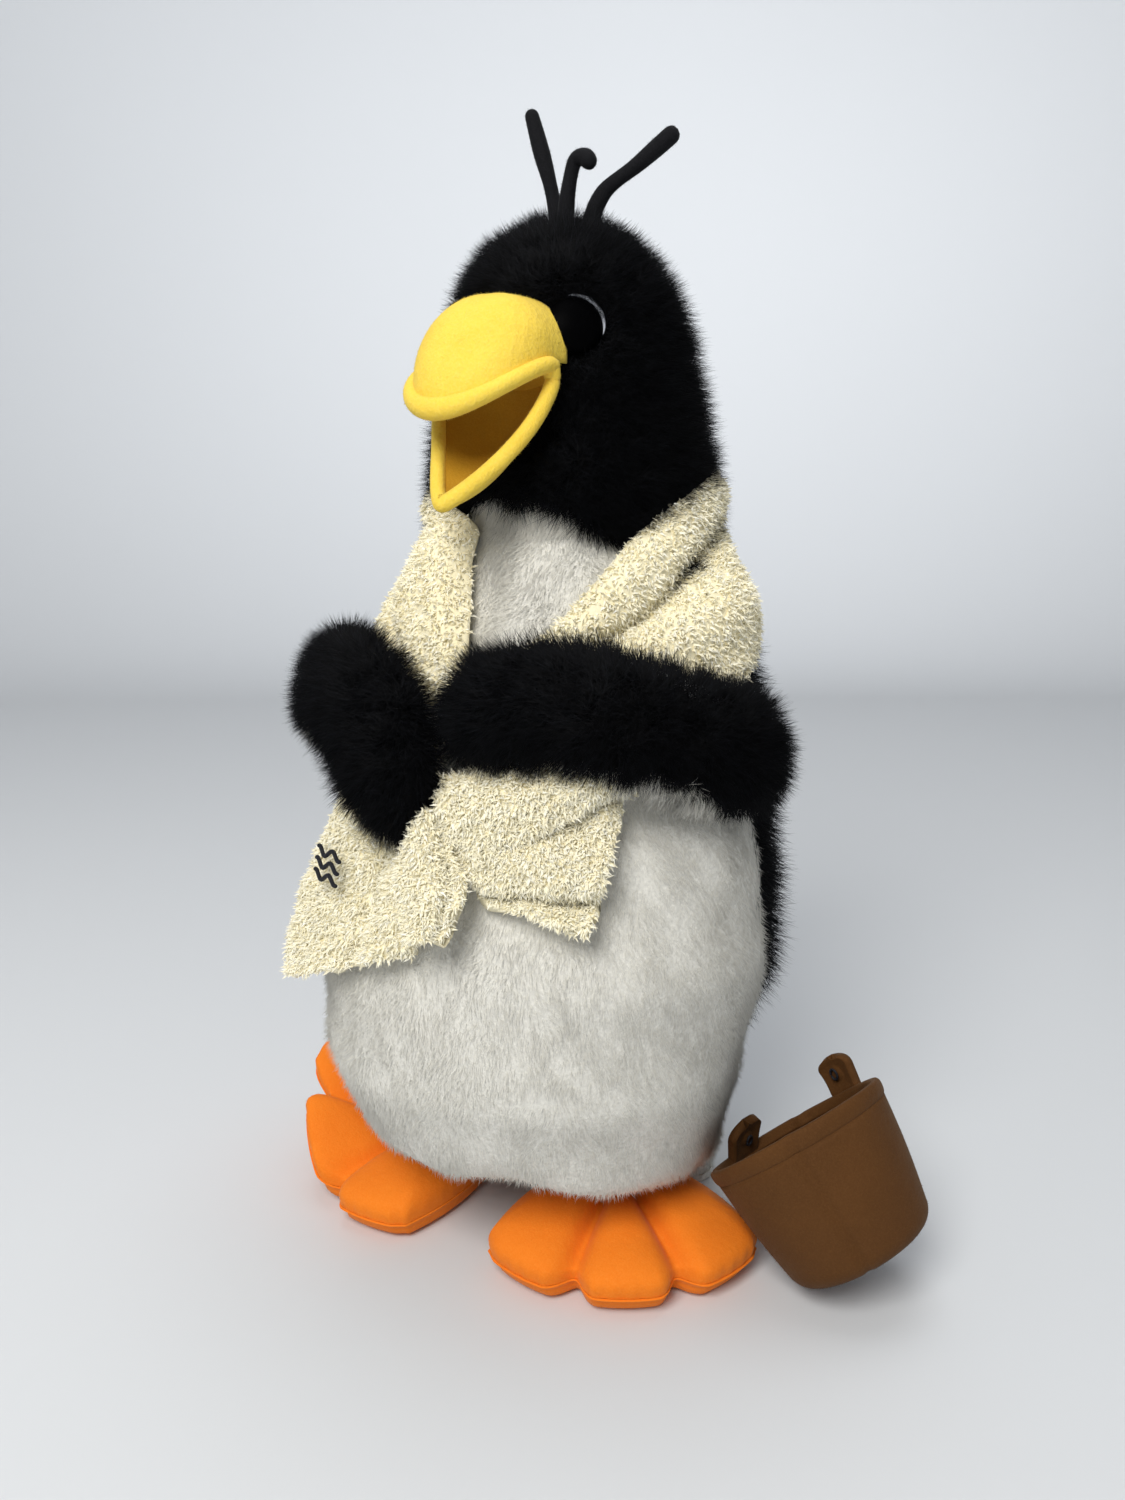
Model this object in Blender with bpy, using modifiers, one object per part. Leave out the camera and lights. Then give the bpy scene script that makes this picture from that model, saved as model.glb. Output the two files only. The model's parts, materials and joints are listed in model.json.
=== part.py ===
"""Plush penguin in a terry towel, with a plush bucket at its side.

Metres, +Z up. The toy faces -Y and its own left is +X. The origin is the middle of the base panel's
underside, and the toy's upright axis stands AXIS_Y behind or in front of it. Each sub-part is one object.
"""

import math

import bmesh
import bpy
from mathutils import Matrix, Vector

# Fits and cloth
GAP = 0.0004  # between pieces that touch
CLOTH = 0.003  # plush backing with its shorn pile
FELT = 0.002  # fleece and felt pieces
TOWEL = 0.0045  # terry, folded double
TOWEL_FOLDED = 0.010  # where it is bunched
TOWEL_STAND = 0.0027  # how far it lies off the plush
BADGE_RADIUS = 0.0085
BADGE_PLACE = (0.158, -19.0)  # height and turn
SEAM_GAP_DEG = 0.35  # the same gap round the body's upright side seams
LOW_SEAM_GAP_DEG = 1.3  # and where the seams slant to the tail

# Body, measured from the toy's upright axis
AXIS_Y = -0.034
SEAT_HALF_WIDTH = 0.056
SEAT_FRONT = 0.008
SEAT_BACK = 0.060
FOOT_HEIGHT = 0.026
BELLY_HEIGHT = 0.084
BELLY_HALF_WIDTH = 0.087
BELLY_FRONT = 0.107
BELLY_BACK = 0.049
WAIST_HEIGHT = 0.130
WAIST_HALF_WIDTH = 0.094
SHOULDER_HEIGHT = 0.225
SHOULDER_HALF_WIDTH = 0.077
NECK_HEIGHT = 0.285
NECK_RADIUS = 0.049
NECK_CENTRE = 0.004

# Head, whose heights are above the neck's seam
HEAD_TALL = 0.111
HEAD_HALF_WIDTH = 0.043
EYE_LIFT = 0.0745
EYE_TURN = 40.5
EYE_RADIUS = 0.0094
EYE_UPWARDS = 0.16
STEM_RADIUS = 0.0025

# Beak
BEAK_LENGTH = 0.032
BEAK_HALF_WIDTH = 0.0255
BEAK_ROOT = 0.050
BEAK_HEIGHT = 0.023
BEAK_CORNER_LIFT = 0.0585
BEAK_DROOP = 0.015
RIM_RADIUS = 0.0027
JAW_LENGTH = 0.051
JAW_DEPTH = 0.008
JAW_ANGLE = 53.0

# Wings
WING_HALF_HEIGHT = 0.0185
WING_HALF_THICKNESS = 0.0085
WING_CLEARANCE = 0.0012
WING_STATIONS = 10  # rows along a wing

# Feet
TOE_LENGTH = 0.067
TOE_SPREAD = 41.0
HEEL_RADIUS = 0.022
SOLE_HEIGHT = 0.009
SOLE_CLOTH = 0.0045
VALLEY_DEPTH = 0.35  # of the height above the sole, between two toes
CURL_START = 0.066  # how far from the middle a foot starts to curl up
DOME_STEPS = (0.0, 0.35, 0.65, 0.85, 0.96)

# Crest and tail
TUFT_RADIUS = 0.0028
TAIL_LENGTH = 0.050
TAIL_HALF_WIDTH = 0.030
TAIL_HEIGHT = 0.062

# Bucket
BUCKET_HEIGHT = 0.053
BUCKET_RIM_RADIUS = 0.037
BUCKET_BASE_RADIUS = 0.0285
BUCKET_WALL = 0.0025
BUCKET_LEAN = 37.0
BUCKET_AWAY = 0.0
BUCKET_HEM = 0.005
BUCKET_FLOOR = 0.003
BESIDE_TOE = 0.0095
BUCKET_RIM_X = TOE_LENGTH + BESIDE_TOE  # its rim's low point, beside the outer toe
BUCKET_RIM_Y = AXIS_Y - 0.003

LUG_PLACES = {"near": (345.0, 46.0), "far": (258.0, 0.0)}  # turn round the rim, and tilt inwards
LUG_HALF_WIDTH = 0.0085
LUG_HEIGHT = 0.015
LUG_THICKNESS = 0.0035
EYELET_RADIUS = 0.0022

UP = Vector((0, 0, 1))
RING_SIDES = 28
BELLY_COLUMNS = 29

COLOURS = {
    "black_plush": (0.006, 0.006, 0.009),
    "white_plush": (0.66, 0.64, 0.59),
    "terry": (0.83, 0.77, 0.55),
    "yellow_fleece": (0.93, 0.64, 0.02),
    "mouth_felt": (0.35, 0.17, 0.015),
    "orange_velour": (0.92, 0.24, 0.015),
    "brown_velour": (0.16, 0.055, 0.014),
    "black_plastic": (0.004, 0.004, 0.005),
    "white_plastic": (0.6, 0.62, 0.66),
    "filling": (0.8, 0.8, 0.78),
    "black_felt": (0.008, 0.008, 0.01),
    "thread": (0.01, 0.01, 0.012),
}
SHINY = {"black_plastic": 0.12, "white_plastic": 0.35}


def clear_scene():
    for obj in list(bpy.data.objects):
        bpy.data.objects.remove(obj)


def make_collections():
    parts = bpy.data.collections.new("plush_penguin")
    cutters = bpy.data.collections.new("cutters")
    cutters.hide_render = True
    for collection in (parts, cutters):
        bpy.context.scene.collection.children.link(collection)
    return parts, cutters


def make_materials():
    made = {}
    for name, colour in COLOURS.items():
        material = bpy.data.materials.new(name)
        material.use_nodes = True
        shader = material.node_tree.nodes["Principled BSDF"]
        shader.inputs["Base Color"].default_value = (*colour, 1.0)
        shader.inputs["Roughness"].default_value = SHINY.get(name, 0.9)
        shader.inputs["Metallic"].default_value = 0.0
        made[name] = material
    return made


def add(name, mesh, material, parent=None):
    """Adds the mesh, whose points are world positions, and hangs it on parent without moving it."""
    obj = bpy.data.objects.new(name, mesh)
    PARTS.objects.link(obj)
    obj.data.materials.append(MATERIALS[material])
    if parent is not None:
        obj.parent = parent
        obj.matrix_parent_inverse = parent.matrix_world.inverted()
    return obj


def frame_at(place, out):
    """A frame at a place whose Z axis points out."""
    return Matrix.Translation(place) @ out.to_track_quat("Z", "Y").to_matrix().to_4x4()


def pivot(name, place, axis):
    """An empty whose Z axis is a joint's axis."""
    empty = bpy.data.objects.new(name, None)
    empty.empty_display_size = 0.02
    empty.matrix_world = frame_at(place, axis)
    PARTS.objects.link(empty)
    return empty


def shell(obj, thickness, offset=1.0):
    """Gives an open surface its cloth's thickness, on the side that its faces point to."""
    solid = obj.modifiers.new("cloth", "SOLIDIFY")
    solid.thickness = thickness
    solid.offset = offset


def loft(rows, ring=False, ends=False):
    """A mesh through rows of equal length. ring closes each row, and ends caps the first and the last."""
    bm = bmesh.new()
    made = [[bm.verts.new(point) for point in row] for row in rows]
    count = len(rows[0])
    for low, high in zip(made, made[1:]):
        for i in range(count if ring else count - 1):
            j = (i + 1) % count
            bm.faces.new((low[i], low[j], high[j], high[i]))
    if ends:
        bm.faces.new(made[0][::-1])
        bm.faces.new(made[-1])
    bmesh.ops.recalc_face_normals(bm, faces=bm.faces)
    mesh = bpy.data.meshes.new("loft")
    bm.to_mesh(mesh)
    bm.free()
    return mesh


def cut(obj, cutter):
    boolean = obj.modifiers.new("cut", "BOOLEAN")
    boolean.operation = "DIFFERENCE"
    boolean.solver = "EXACT"
    boolean.object = cutter


def tube(name, points, radius, material, parent=None, tip=1.0):
    """A round cord of cloth through the points, which ends at tip times its radius."""
    curve = bpy.data.curves.new(name, "CURVE")
    curve.dimensions = "3D"
    curve.bevel_depth = radius
    curve.bevel_resolution = 2
    curve.use_fill_caps = True
    line = curve.splines.new("POLY")
    line.points.add(len(points) - 1)
    for i, point in enumerate(points):
        line.points[i].co = (*point, 1.0)
        line.points[i].radius = tip if i in (0, len(points) - 1) else 1.0
    return add(name, curve, material, parent)


def smooth_line(points, count):
    """A smooth curve through hand-chosen points, read at count places."""
    ends = [points[0], *points, points[-1]]
    made = []
    for k in range(count):
        t = k / (count - 1) * (len(points) - 1)
        i = min(int(t), len(points) - 2)
        f = t - i
        before, here, there, after = (ends[i + n] for n in range(4))
        made.append(
            tuple(
                q + 0.5 * f * ((r - p) + f * (2 * p - 5 * q + 4 * r - s + f * (3 * q - p - 3 * r + s)))
                for p, q, r, s in zip(before, here, there, after)
            )
        )
    return made


def steps(start, stop, count):
    return [start + (stop - start) * i / (count - 1) for i in range(count)]


# Each row of SECTIONS: height, half width, reach to the front and to the back, and where it is widest.
SHELF = FOOT_HEIGHT + CLOTH + 0.0015
SEAT_MIDDLE = 0.034
HEAD_HEIGHT = NECK_HEIGHT + HEAD_TALL
EYE_HEIGHT = NECK_HEIGHT + EYE_LIFT
BEAK_CORNER_HEIGHT = NECK_HEIGHT + BEAK_CORNER_LIFT
NECK_CIRCLE = (NECK_RADIUS, NECK_RADIUS - NECK_CENTRE, NECK_RADIUS + NECK_CENTRE, NECK_CENTRE)
SECTIONS = [
    (0.0, SEAT_HALF_WIDTH - 0.004, -SEAT_FRONT - 0.003, SEAT_BACK - 0.004, SEAT_MIDDLE),
    (SHELF - 0.0015, SEAT_HALF_WIDTH, -SEAT_FRONT, SEAT_BACK, SEAT_MIDDLE),
    (SHELF, 0.066, 0.052, 0.050, 0.000),
    (0.045, 0.076, 0.092, 0.050, -0.021),
    (BELLY_HEIGHT, BELLY_HALF_WIDTH, BELLY_FRONT, BELLY_BACK, -0.026),
    (WAIST_HEIGHT, WAIST_HALF_WIDTH, 0.105, 0.062, -0.018),
    (0.180, 0.087, 0.091, 0.063, -0.013),
    (SHOULDER_HEIGHT, SHOULDER_HALF_WIDTH, 0.074, 0.060, -0.006),
    (NECK_HEIGHT - 0.025, 0.064, 0.057, 0.055, 0.001),
    (NECK_HEIGHT, *NECK_CIRCLE),
    (NECK_HEIGHT + 0.017, *NECK_CIRCLE),
    (NECK_HEIGHT + 0.055, HEAD_HALF_WIDTH, 0.044, 0.043, 0.001),
    (HEAD_HEIGHT - 0.030, 0.039, 0.040, 0.036, -0.002),
    (HEAD_HEIGHT - 0.012, 0.028, 0.029, 0.024, -0.002),
    (HEAD_HEIGHT - 0.003, 0.015, 0.015, 0.012, -0.001),
    (HEAD_HEIGHT, 0.002, 0.003, 0.002, 0.0),
]


def section(height):
    """Half width, front, back and widest place of the toy at a height, eased between the rows of SECTIONS."""
    for low, high in zip(SECTIONS, SECTIONS[1:]):
        if height <= high[0]:
            break
    f = min(max((height - low[0]) / (high[0] - low[0]), 0.0), 1.0)
    return [p + (q - p) * f for p, q in zip(low[1:], high[1:])]


def surface(height, turn):
    half_width, front, back, middle = section(height)
    angle = math.radians(turn)
    reach = middle + front if math.cos(angle) > 0 else back - middle
    return Vector((half_width * math.sin(angle), AXIS_Y + middle - reach * math.cos(angle), height))


def on_toy(height, turn, out=0.0):
    """The point of the toy's surface at a height and a turn in degrees from straight ahead, moved outwards."""
    place = surface(height, turn)
    if not out:
        return place
    round_it = surface(height, turn + 1.5) - surface(height, turn - 1.5)
    up_it = surface(min(height + 0.002, HEAD_HEIGHT), turn) - surface(max(height - 0.002, 0.0), turn)
    return place + round_it.cross(up_it).normalized() * out


def face_front(x, height, out):
    """The y of the toy's front at x and a height, moved outwards."""
    half_width, front, _, middle = section(height)
    share = min(abs(x) / (half_width + out), 0.98)
    return AXIS_Y + middle - (middle + front + out) * math.sqrt(1 - share**2)


def ring_at(height, out=0.0, sides=RING_SIDES):
    return [on_toy(height, 360 * i / sides, out) for i in range(sides)]


def levels(start, stop):
    """Heights for a loft: the rows of SECTIONS between start and stop, one between each, and both ends."""
    inside = [row[0] for row in SECTIONS if start + 0.002 < row[0] < stop - 0.002]
    marks = [start, *inside, stop]
    between = [(a + b) / 2 for a, b in zip(marks, marks[1:]) if b - a > 0.02]
    return sorted(marks + between)


# The black back narrows to the tail: where its side seam runs, by height.
SEAM = [(SHELF, 179.7), (0.055, 179.7), (0.080, 120.0), (0.130, 97.0), (0.200, 92.0), (NECK_HEIGHT, 75.0)]


def seam_turn(height):
    for (low, a), (high, b) in zip(SEAM, SEAM[1:]):
        if height <= high:
            break
    f = min(max((height - low) / (high - low), 0.0), 1.0)
    return a + (b - a) * f


def seam_gap(height):
    return SEAM_GAP_DEG if height > 0.1 else LOW_SEAM_GAP_DEG


def inner_ring(height, inset):
    """A level ring inside the seat, whose walls are upright."""
    turns = [360 * i / RING_SIDES for i in range(RING_SIDES)]
    return [surface(height, t) - inset * heading(t) for t in turns]


def body():
    """The belly, back, seat and base skins, the pellet bag in the seat and the filling above it."""
    seat = [inner_ring(h, CLOTH) for h in (CLOTH + 2 * GAP, 0.016, SHELF - 0.002)]
    panel = add("seat_panel", loft(seat, ring=True), "white_plush")
    outward(panel.data)
    shell(panel, CLOTH)
    outline = ring_at(0.0)
    low = [Vector((p.x, p.y, 0.0)) for p in outline]
    high = [Vector((p.x, p.y, CLOTH)) for p in outline]
    add("base_panel", loft([low, high], ring=True, ends=True), "white_plush")

    top = NECK_HEIGHT - 4 * GAP
    marks = sorted(levels(0.038, top) + [0.055, 0.068])
    turns = steps(-179.7, 179.7, BELLY_COLUMNS)
    rows = [
        [surface(SHELF - 0.0015, t) + Vector((0, 0, CLOTH + 0.0015)) + 0.001 * heading(t) for t in turns],
        [surface(SHELF, t) + Vector((0, 0, CLOTH)) - CLOTH * heading(t) for t in turns],
    ]
    for height in marks:
        edge = seam_turn(height) - seam_gap(height)
        rows.append([on_toy(height, t, -CLOTH) for t in steps(-edge, edge, BELLY_COLUMNS)])
    panel = add("belly_panel", loft(rows), "white_plush")
    outward(panel.data)
    shell(panel, CLOTH)

    rows = []
    for height in [h for h in marks if h > 0.0555]:
        edge = seam_turn(height) + seam_gap(height)
        rows.append([on_toy(height, t, -CLOTH) for t in steps(edge, 360 - edge, 17)])
    panel = add("back_panel", loft(rows), "black_plush")
    outward(panel.data)
    shell(panel, CLOTH)

    inset = CLOTH + GAP + 0.0012
    rows = [inner_ring(h, inset) for h in (CLOTH + 3 * GAP, 0.016, SHELF - 0.003)]
    add("pellet_bag", loft(rows, ring=True, ends=True), "filling")
    rows = [ring_at(h, -inset - 0.003) for h in [m for m in marks if 0.040 < m < top - 0.002]]
    add("body_stuffing", loft(rows, ring=True, ends=True), "filling")


def heading(turn):
    """The level direction at a turn, away from the axis."""
    return Vector((math.sin(math.radians(turn)), -math.cos(math.radians(turn)), 0))


def head():
    """The head's two side panels and its filling, with the holes that the eyes' stems go through."""
    neck = pivot("neck_pivot", Vector((0, AXIS_Y + NECK_CENTRE, NECK_HEIGHT)), UP)
    heights = levels(NECK_HEIGHT + GAP, HEAD_HEIGHT)
    cutters = [eye_cutter(side) for side in (1, -1)]
    for name, side in (("head_left_panel", 1), ("head_right_panel", -1)):
        rows = []
        for height in heights:
            row = [on_toy(height, side * t, -CLOTH) for t in steps(0, 180, 14)]
            rows.append([Vector((side * max(abs(p.x), GAP / 2), p.y, p.z)) for p in row])
        panel = add(name, loft(rows), "black_plush", neck)
        outward(panel.data)
        shell(panel, CLOTH)
        cut(panel, cutters[0 if side > 0 else 1][0])
    inset = -(CLOTH + GAP + 0.0008)
    rows = [ring_at(h, inset) for h in levels(NECK_HEIGHT + 2 * GAP, HEAD_HEIGHT - 0.006)]
    filling = add("head_stuffing", loft(rows, ring=True, ends=True), "filling", neck)
    for _, recess in cutters:
        cut(filling, recess)
    for side, word in ((1, "left"), (-1, "right")):
        eye(word, side, neck)
    return neck


def outward(mesh):
    """Turns an open surface's faces away from the toy's axis."""
    total = sum((f.normal.dot(Vector((f.center.x, f.center.y - AXIS_Y, 0))) * f.area for f in mesh.polygons))
    if total < 0:
        mesh.flip_normals()


def eye_frame(side):
    """Where an eye's back touches the head, with its Z axis pointing out."""
    place = on_toy(EYE_HEIGHT, side * EYE_TURN, 0.0006)
    out = (heading(side * EYE_TURN) + EYE_UPWARDS * UP).normalized()
    return frame_at(place, out)


def cylinder(name, radius, low, high, frame, sides=24):
    bm = bmesh.new()
    bmesh.ops.create_cone(
        bm, cap_ends=True, segments=sides, radius1=radius, radius2=radius, depth=high - low,
        matrix=Matrix.Translation((0, 0, (low + high) / 2)),
    )
    mesh = bpy.data.meshes.new(name)
    bm.to_mesh(mesh)
    bm.free()
    mesh.transform(frame)
    return mesh


def cutter(name, mesh):
    obj = bpy.data.objects.new(name, mesh)
    obj.display_type = "WIRE"
    obj.hide_render = True
    CUTTERS.objects.link(obj)
    return obj


WASHER_DEPTH = CLOTH + 0.0022
STEM_LENGTH = WASHER_DEPTH + 0.0035


def eye_cutter(side):
    """The stem's hole in the skin and the washer's recess in the filling."""
    frame = eye_frame(side)
    hole = cylinder("stem_hole", STEM_RADIUS + GAP, -0.03, 0.01, frame)
    recess = cylinder("washer_recess", EYE_RADIUS - 0.002, -STEM_LENGTH - 0.001, 0.01, frame)
    return cutter("stem_hole", hole), cutter("washer_recess", recess)


def turned(name, profile, frame, material, parent, sides=18):
    """A turned piece: its profile, as radius and height pairs, spun about the frame's Z axis."""
    bm = bmesh.new()
    points = [bm.verts.new((r, 0, z)) for r, z in profile]
    for a, b in zip(points, points[1:]):
        bm.edges.new((a, b))
    mesh = bpy.data.meshes.new(name)
    bm.to_mesh(mesh)
    bm.free()
    obj = bpy.data.objects.new(name, mesh)
    PARTS.objects.link(obj)
    mesh.materials.append(MATERIALS[material])
    spin = obj.modifiers.new("turn", "SCREW")
    spin.steps = sides
    spin.render_steps = sides
    spin.use_merge_vertices = True
    spin.merge_threshold = 0.00001
    obj.matrix_world = frame
    if parent is not None:
        obj.parent = parent
        obj.matrix_parent_inverse = parent.matrix_world.inverted()
    return obj


def eye(word, side, neck):
    """A domed button on a stem, a pale disc behind it that shows as a crescent, and the washer inside."""
    frame = eye_frame(side)
    disc = 0.0012
    low = disc + GAP
    dome = [(EYE_RADIUS * math.sin(a), low + 0.0005 + 0.0042 * math.cos(a)) for a in steps(0, math.pi / 2, 7)]
    profile = dome + [(EYE_RADIUS, low), (STEM_RADIUS, low), (STEM_RADIUS, -STEM_LENGTH), (0, -STEM_LENGTH)]
    turned(f"{word}_eye_button", profile, frame, "black_plastic", neck)
    washer = [
        (STEM_RADIUS + GAP, -WASHER_DEPTH - 0.0012), (STEM_RADIUS + GAP, -WASHER_DEPTH),
        (EYE_RADIUS - 0.0035, -WASHER_DEPTH), (EYE_RADIUS - 0.0035, -WASHER_DEPTH - 0.0012),
        (STEM_RADIUS + GAP, -WASHER_DEPTH - 0.0012),
    ]
    turned(f"{word}_eye_washer", washer, frame, "white_plastic", neck)
    shift = Matrix.Translation((side * 0.0007, 0.0011, 0))
    white = add(f"{word}_eye_white", cylinder("white", EYE_RADIUS + 0.0006, 0.0001, disc, frame @ shift),
                "white_plastic", neck)
    cut(white, cutter(f"{word}_white_hole", cylinder("hole", STEM_RADIUS + GAP, -0.01, 0.01, frame)))


def beak_reach(y):
    """0 at the beak's root and 1 at its tip."""
    return min(max((AXIS_Y - y - BEAK_ROOT) / BEAK_LENGTH, 0.0), 1.0)


def beak_width(y):
    return BEAK_HALF_WIDTH * math.sqrt(max(1 - beak_reach(y) ** 2, 0.0))


def rim_height(y):
    return BEAK_CORNER_HEIGHT - BEAK_DROOP * beak_reach(y) ** 1.5


def arch(y, inset, lift, sides=13):
    """One row across the upper beak, lift above its rim, and against the head where y is None."""
    row = []
    at = AXIS_Y - BEAK_ROOT if y is None else y
    round_share = math.sqrt(max(1 - beak_reach(at) ** 2, 0.0))
    for angle in steps(-90, 90, sides):
        a = math.radians(angle)
        x = max(beak_width(at) - inset, 0.001) * math.sin(a)
        z = rim_height(at) + lift + max(BEAK_HEIGHT * round_share - 1.9 * inset, 0.001) * math.cos(a)
        row.append(Vector((x, face_front(x, z, 0.0014) if y is None else at, z)))
    return row


def upper_beak(neck):
    reaches = (0.0, 0.25, 0.5, 0.7, 0.85, 0.95, 0.995)
    places = [AXIS_Y - BEAK_ROOT - BEAK_LENGTH * r for r in reaches]
    dome = add("upper_beak_skin", loft([arch(y, FELT, GAP) for y in (None, *places)]), "yellow_fleece", neck)
    upward(dome.data)
    shell(dome, FELT)
    rows = [arch(y, FELT + 0.0018, 0.0026) for y in (AXIS_Y - BEAK_ROOT + 0.002, *places[1:5])]
    add("upper_beak_stuffing", loft(rows, ring=True, ends=True), "filling", neck)

    rows = []
    for y in (None, *places[:5]):
        at = AXIS_Y - BEAK_ROOT if y is None else y
        half = max(beak_width(at) - FELT - 0.0014, 0.0015)
        z = rim_height(at) + GAP
        rows.append([
            Vector((x, face_front(x, z, 0.0016) if y is None else at, z))
            for x in steps(-half, half, 9)
        ])
    palate = add("palate_lining", loft(rows), "mouth_felt", neck)
    upward(palate.data)
    shell(palate, 0.0012)

    side = []
    for reach in (-0.28, -0.12, 0.05, 0.25, 0.45, 0.62, 0.76, 0.87, 0.95, 0.99):
        y = AXIS_Y - BEAK_ROOT - BEAK_LENGTH * reach
        side.append(Vector((beak_width(y) + 0.0012, y, rim_height(y) - RIM_RADIUS - GAP)))
    tip_y = AXIS_Y - BEAK_ROOT - BEAK_LENGTH - 0.0012
    path = side + [Vector((0, tip_y, rim_height(tip_y) - RIM_RADIUS - GAP))]
    path += [Vector((-p.x, p.y, p.z)) for p in reversed(side)]
    tube("upper_beak_rim", path, RIM_RADIUS, "yellow_fleece", neck, tip=0.6)


def upward(mesh):
    if sum(f.normal.z * f.area for f in mesh.polygons) < 0:
        mesh.flip_normals()


JAW_HINGE = Vector((0.0, AXIS_Y - 0.0475, BEAK_CORNER_HEIGHT - 0.007))


def jaw_point(along, across, depth):
    """A point of the lower beak: along from its hinge, across to the left, and depth behind its open side."""
    angle = math.radians(JAW_ANGLE)
    ahead = Vector((0, -math.cos(angle), -math.sin(angle)))
    behind = Vector((0, math.sin(angle), -math.cos(angle)))
    return JAW_HINGE + ahead * along + behind * depth + Vector((across, 0, 0))


def jaw_rows(inset, deeper, end, sides=11):
    rows = []
    for share in (0.07, 0.2, 0.35, 0.5, 0.65, 0.8, 0.5 * (0.8 + end), end):
        along = JAW_LENGTH * share
        half = (BEAK_HALF_WIDTH - 0.0005) * (1 - share**1.8) ** 0.8 - inset
        depth = (JAW_DEPTH + deeper) * 4 * share * (1 - share)
        row = []
        for across in steps(-1, 1, sides):
            row.append(jaw_point(along, max(half, 0.0012) * across, depth * (1 - across**2) + deeper))
        rows.append(row)
    return rows


def lower_beak(neck):
    hinge = pivot("jaw_pivot", JAW_HINGE, Vector((1, 0, 0)))
    hinge.parent = neck
    hinge.matrix_parent_inverse = neck.matrix_world.inverted()
    skin = add("lower_beak_skin", loft(jaw_rows(0.0, FELT, 0.985)), "yellow_fleece", hinge)
    lining = add("lower_beak_lining", loft(jaw_rows(0.0018, -GAP, 0.91)), "mouth_felt", hinge)
    for obj, thickness in ((skin, 0.0016), (lining, 0.0012)):
        upward(obj.data)
        shell(obj, thickness, offset=-1.0)
    side = []
    for share in (0.09, 0.2, 0.35, 0.5, 0.65, 0.8, 0.92, 0.985):
        half = (BEAK_HALF_WIDTH + 0.0016) * (1 - share**1.8) ** 0.8 + 0.0012
        side.append(jaw_point(JAW_LENGTH * share, half, -0.0005))
    path = side + [jaw_point(JAW_LENGTH + 0.0022, 0, -0.0005)]
    path += [Vector((-p.x, p.y, p.z)) for p in reversed(side)]
    tube("lower_beak_rim", path, 0.0016, "yellow_fleece", hinge, tip=0.6)


TUFTS = {
    "left": [(0.007, 0.003, 0.001), (0.013, 0.004, 0.011), (0.026, 0.006, 0.019), (0.041, 0.008, 0.029)],
    "middle": [(0.0, -0.003, 0.001), (0.001, -0.003, 0.011), (0.005, -0.003, 0.022), (0.010, -0.003, 0.020),
               (0.011, -0.003, 0.013)],
    "right": [(-0.007, 0.002, 0.001), (-0.010, 0.002, 0.014), (-0.014, 0.001, 0.028), (-0.018, 0.0, 0.042)],
}


def crest(neck):
    for word, points in TUFTS.items():
        root = Vector((0, AXIS_Y, HEAD_HEIGHT + GAP))
        line = [root + Vector(p) for p in smooth_line(points, 12)]
        hinge = pivot(f"{word}_tuft_pivot", line[0], Vector((0, -1, 0)))
        hinge.parent = neck
        hinge.matrix_parent_inverse = neck.matrix_world.inverted()
        tube(f"{word}_crest_tuft", line, TUFT_RADIUS, "black_felt", hinge, tip=0.75)


# Each wing's middle line from its shoulder, as turn and height, with its width there as a share of the widest.
LEFT_WING = [(86, 0.213, 0.66), (73, 0.215, 0.94), (60, 0.219, 1.0), (45, 0.225, 1.0), (32, 0.227, 0.98),
             (21, 0.225, 0.90), (13, 0.219, 0.62)]
RIGHT_WING = [(-86, 0.211, 0.66), (-73, 0.211, 0.94), (-60, 0.214, 1.0), (-43, 0.217, 1.0), (-27, 0.217, 1.0),
              (-15, 0.211, 1.0), (-8, 0.198, 0.90), (-7, 0.181, 0.52)]


def wing_rows(route, inset, low, high, count=WING_STATIONS, sides=9):
    """Rows round the wing from angle low to high, where 0 is its outer middle. It stands off for the towel."""
    line = smooth_line(route, count)
    share = [station[2] for station in line]
    thick = [WING_HALF_THICKNESS * (0.62 + 0.38 * w) for w in share]
    over_towel = TOWEL_STAND + TOWEL + 0.0012
    clear = [WING_CLEARANCE + over_towel * min(max((80 - abs(station[0])) / 32, 0.0), 1.0) for station in line]
    middle = [on_toy(h, t, c + w) for (t, h, _), c, w in zip(line, clear, thick)]
    rows = []
    for i, place in enumerate(middle):
        ahead = (middle[min(i + 1, count - 1)] - middle[max(i - 1, 0)]).normalized()
        out = on_toy(line[i][1], line[i][0], 0.05) - place
        out = (out - out.dot(ahead) * ahead).normalized()
        up = ahead.cross(out)
        up = up if route[0][0] < 0 else -up
        width = WING_HALF_HEIGHT * share[i] - inset
        row = []
        for angle in steps(low, high, sides):
            a = math.radians(angle)
            row.append(place + out * (thick[i] - inset) * math.cos(a) + up * width * math.sin(a))
        rows.append(row)
    return rows


def wing(word, route):
    """A black outer skin, a white one against the body, and the filling, hung at the shoulder seam."""
    sign = 1 if word == "left" else -1
    root = on_toy(route[0][1], route[0][0], WING_CLEARANCE)
    hinge = pivot(f"{word}_wing_pivot", root, Vector((0, 0, sign)))
    skin = 0.0022
    rows = wing_rows(route, skin, -104, 104, sides=11)
    outer = add(f"{word}_wing_outer", loft(rows), "black_plush", hinge)
    under = add(f"{word}_wing_underside", loft(wing_rows(route, skin, 112, 248)), "white_plush", hinge)
    outward(outer.data)
    outward(under.data)
    under.data.flip_normals()
    for obj in (outer, under):
        shell(obj, skin)
    rows = wing_rows(route, skin + GAP + 0.0008, 0, 337.5, sides=16)
    add(f"{word}_wing_stuffing", loft(rows[:-1], ring=True, ends=True), "filling", hinge)


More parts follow.
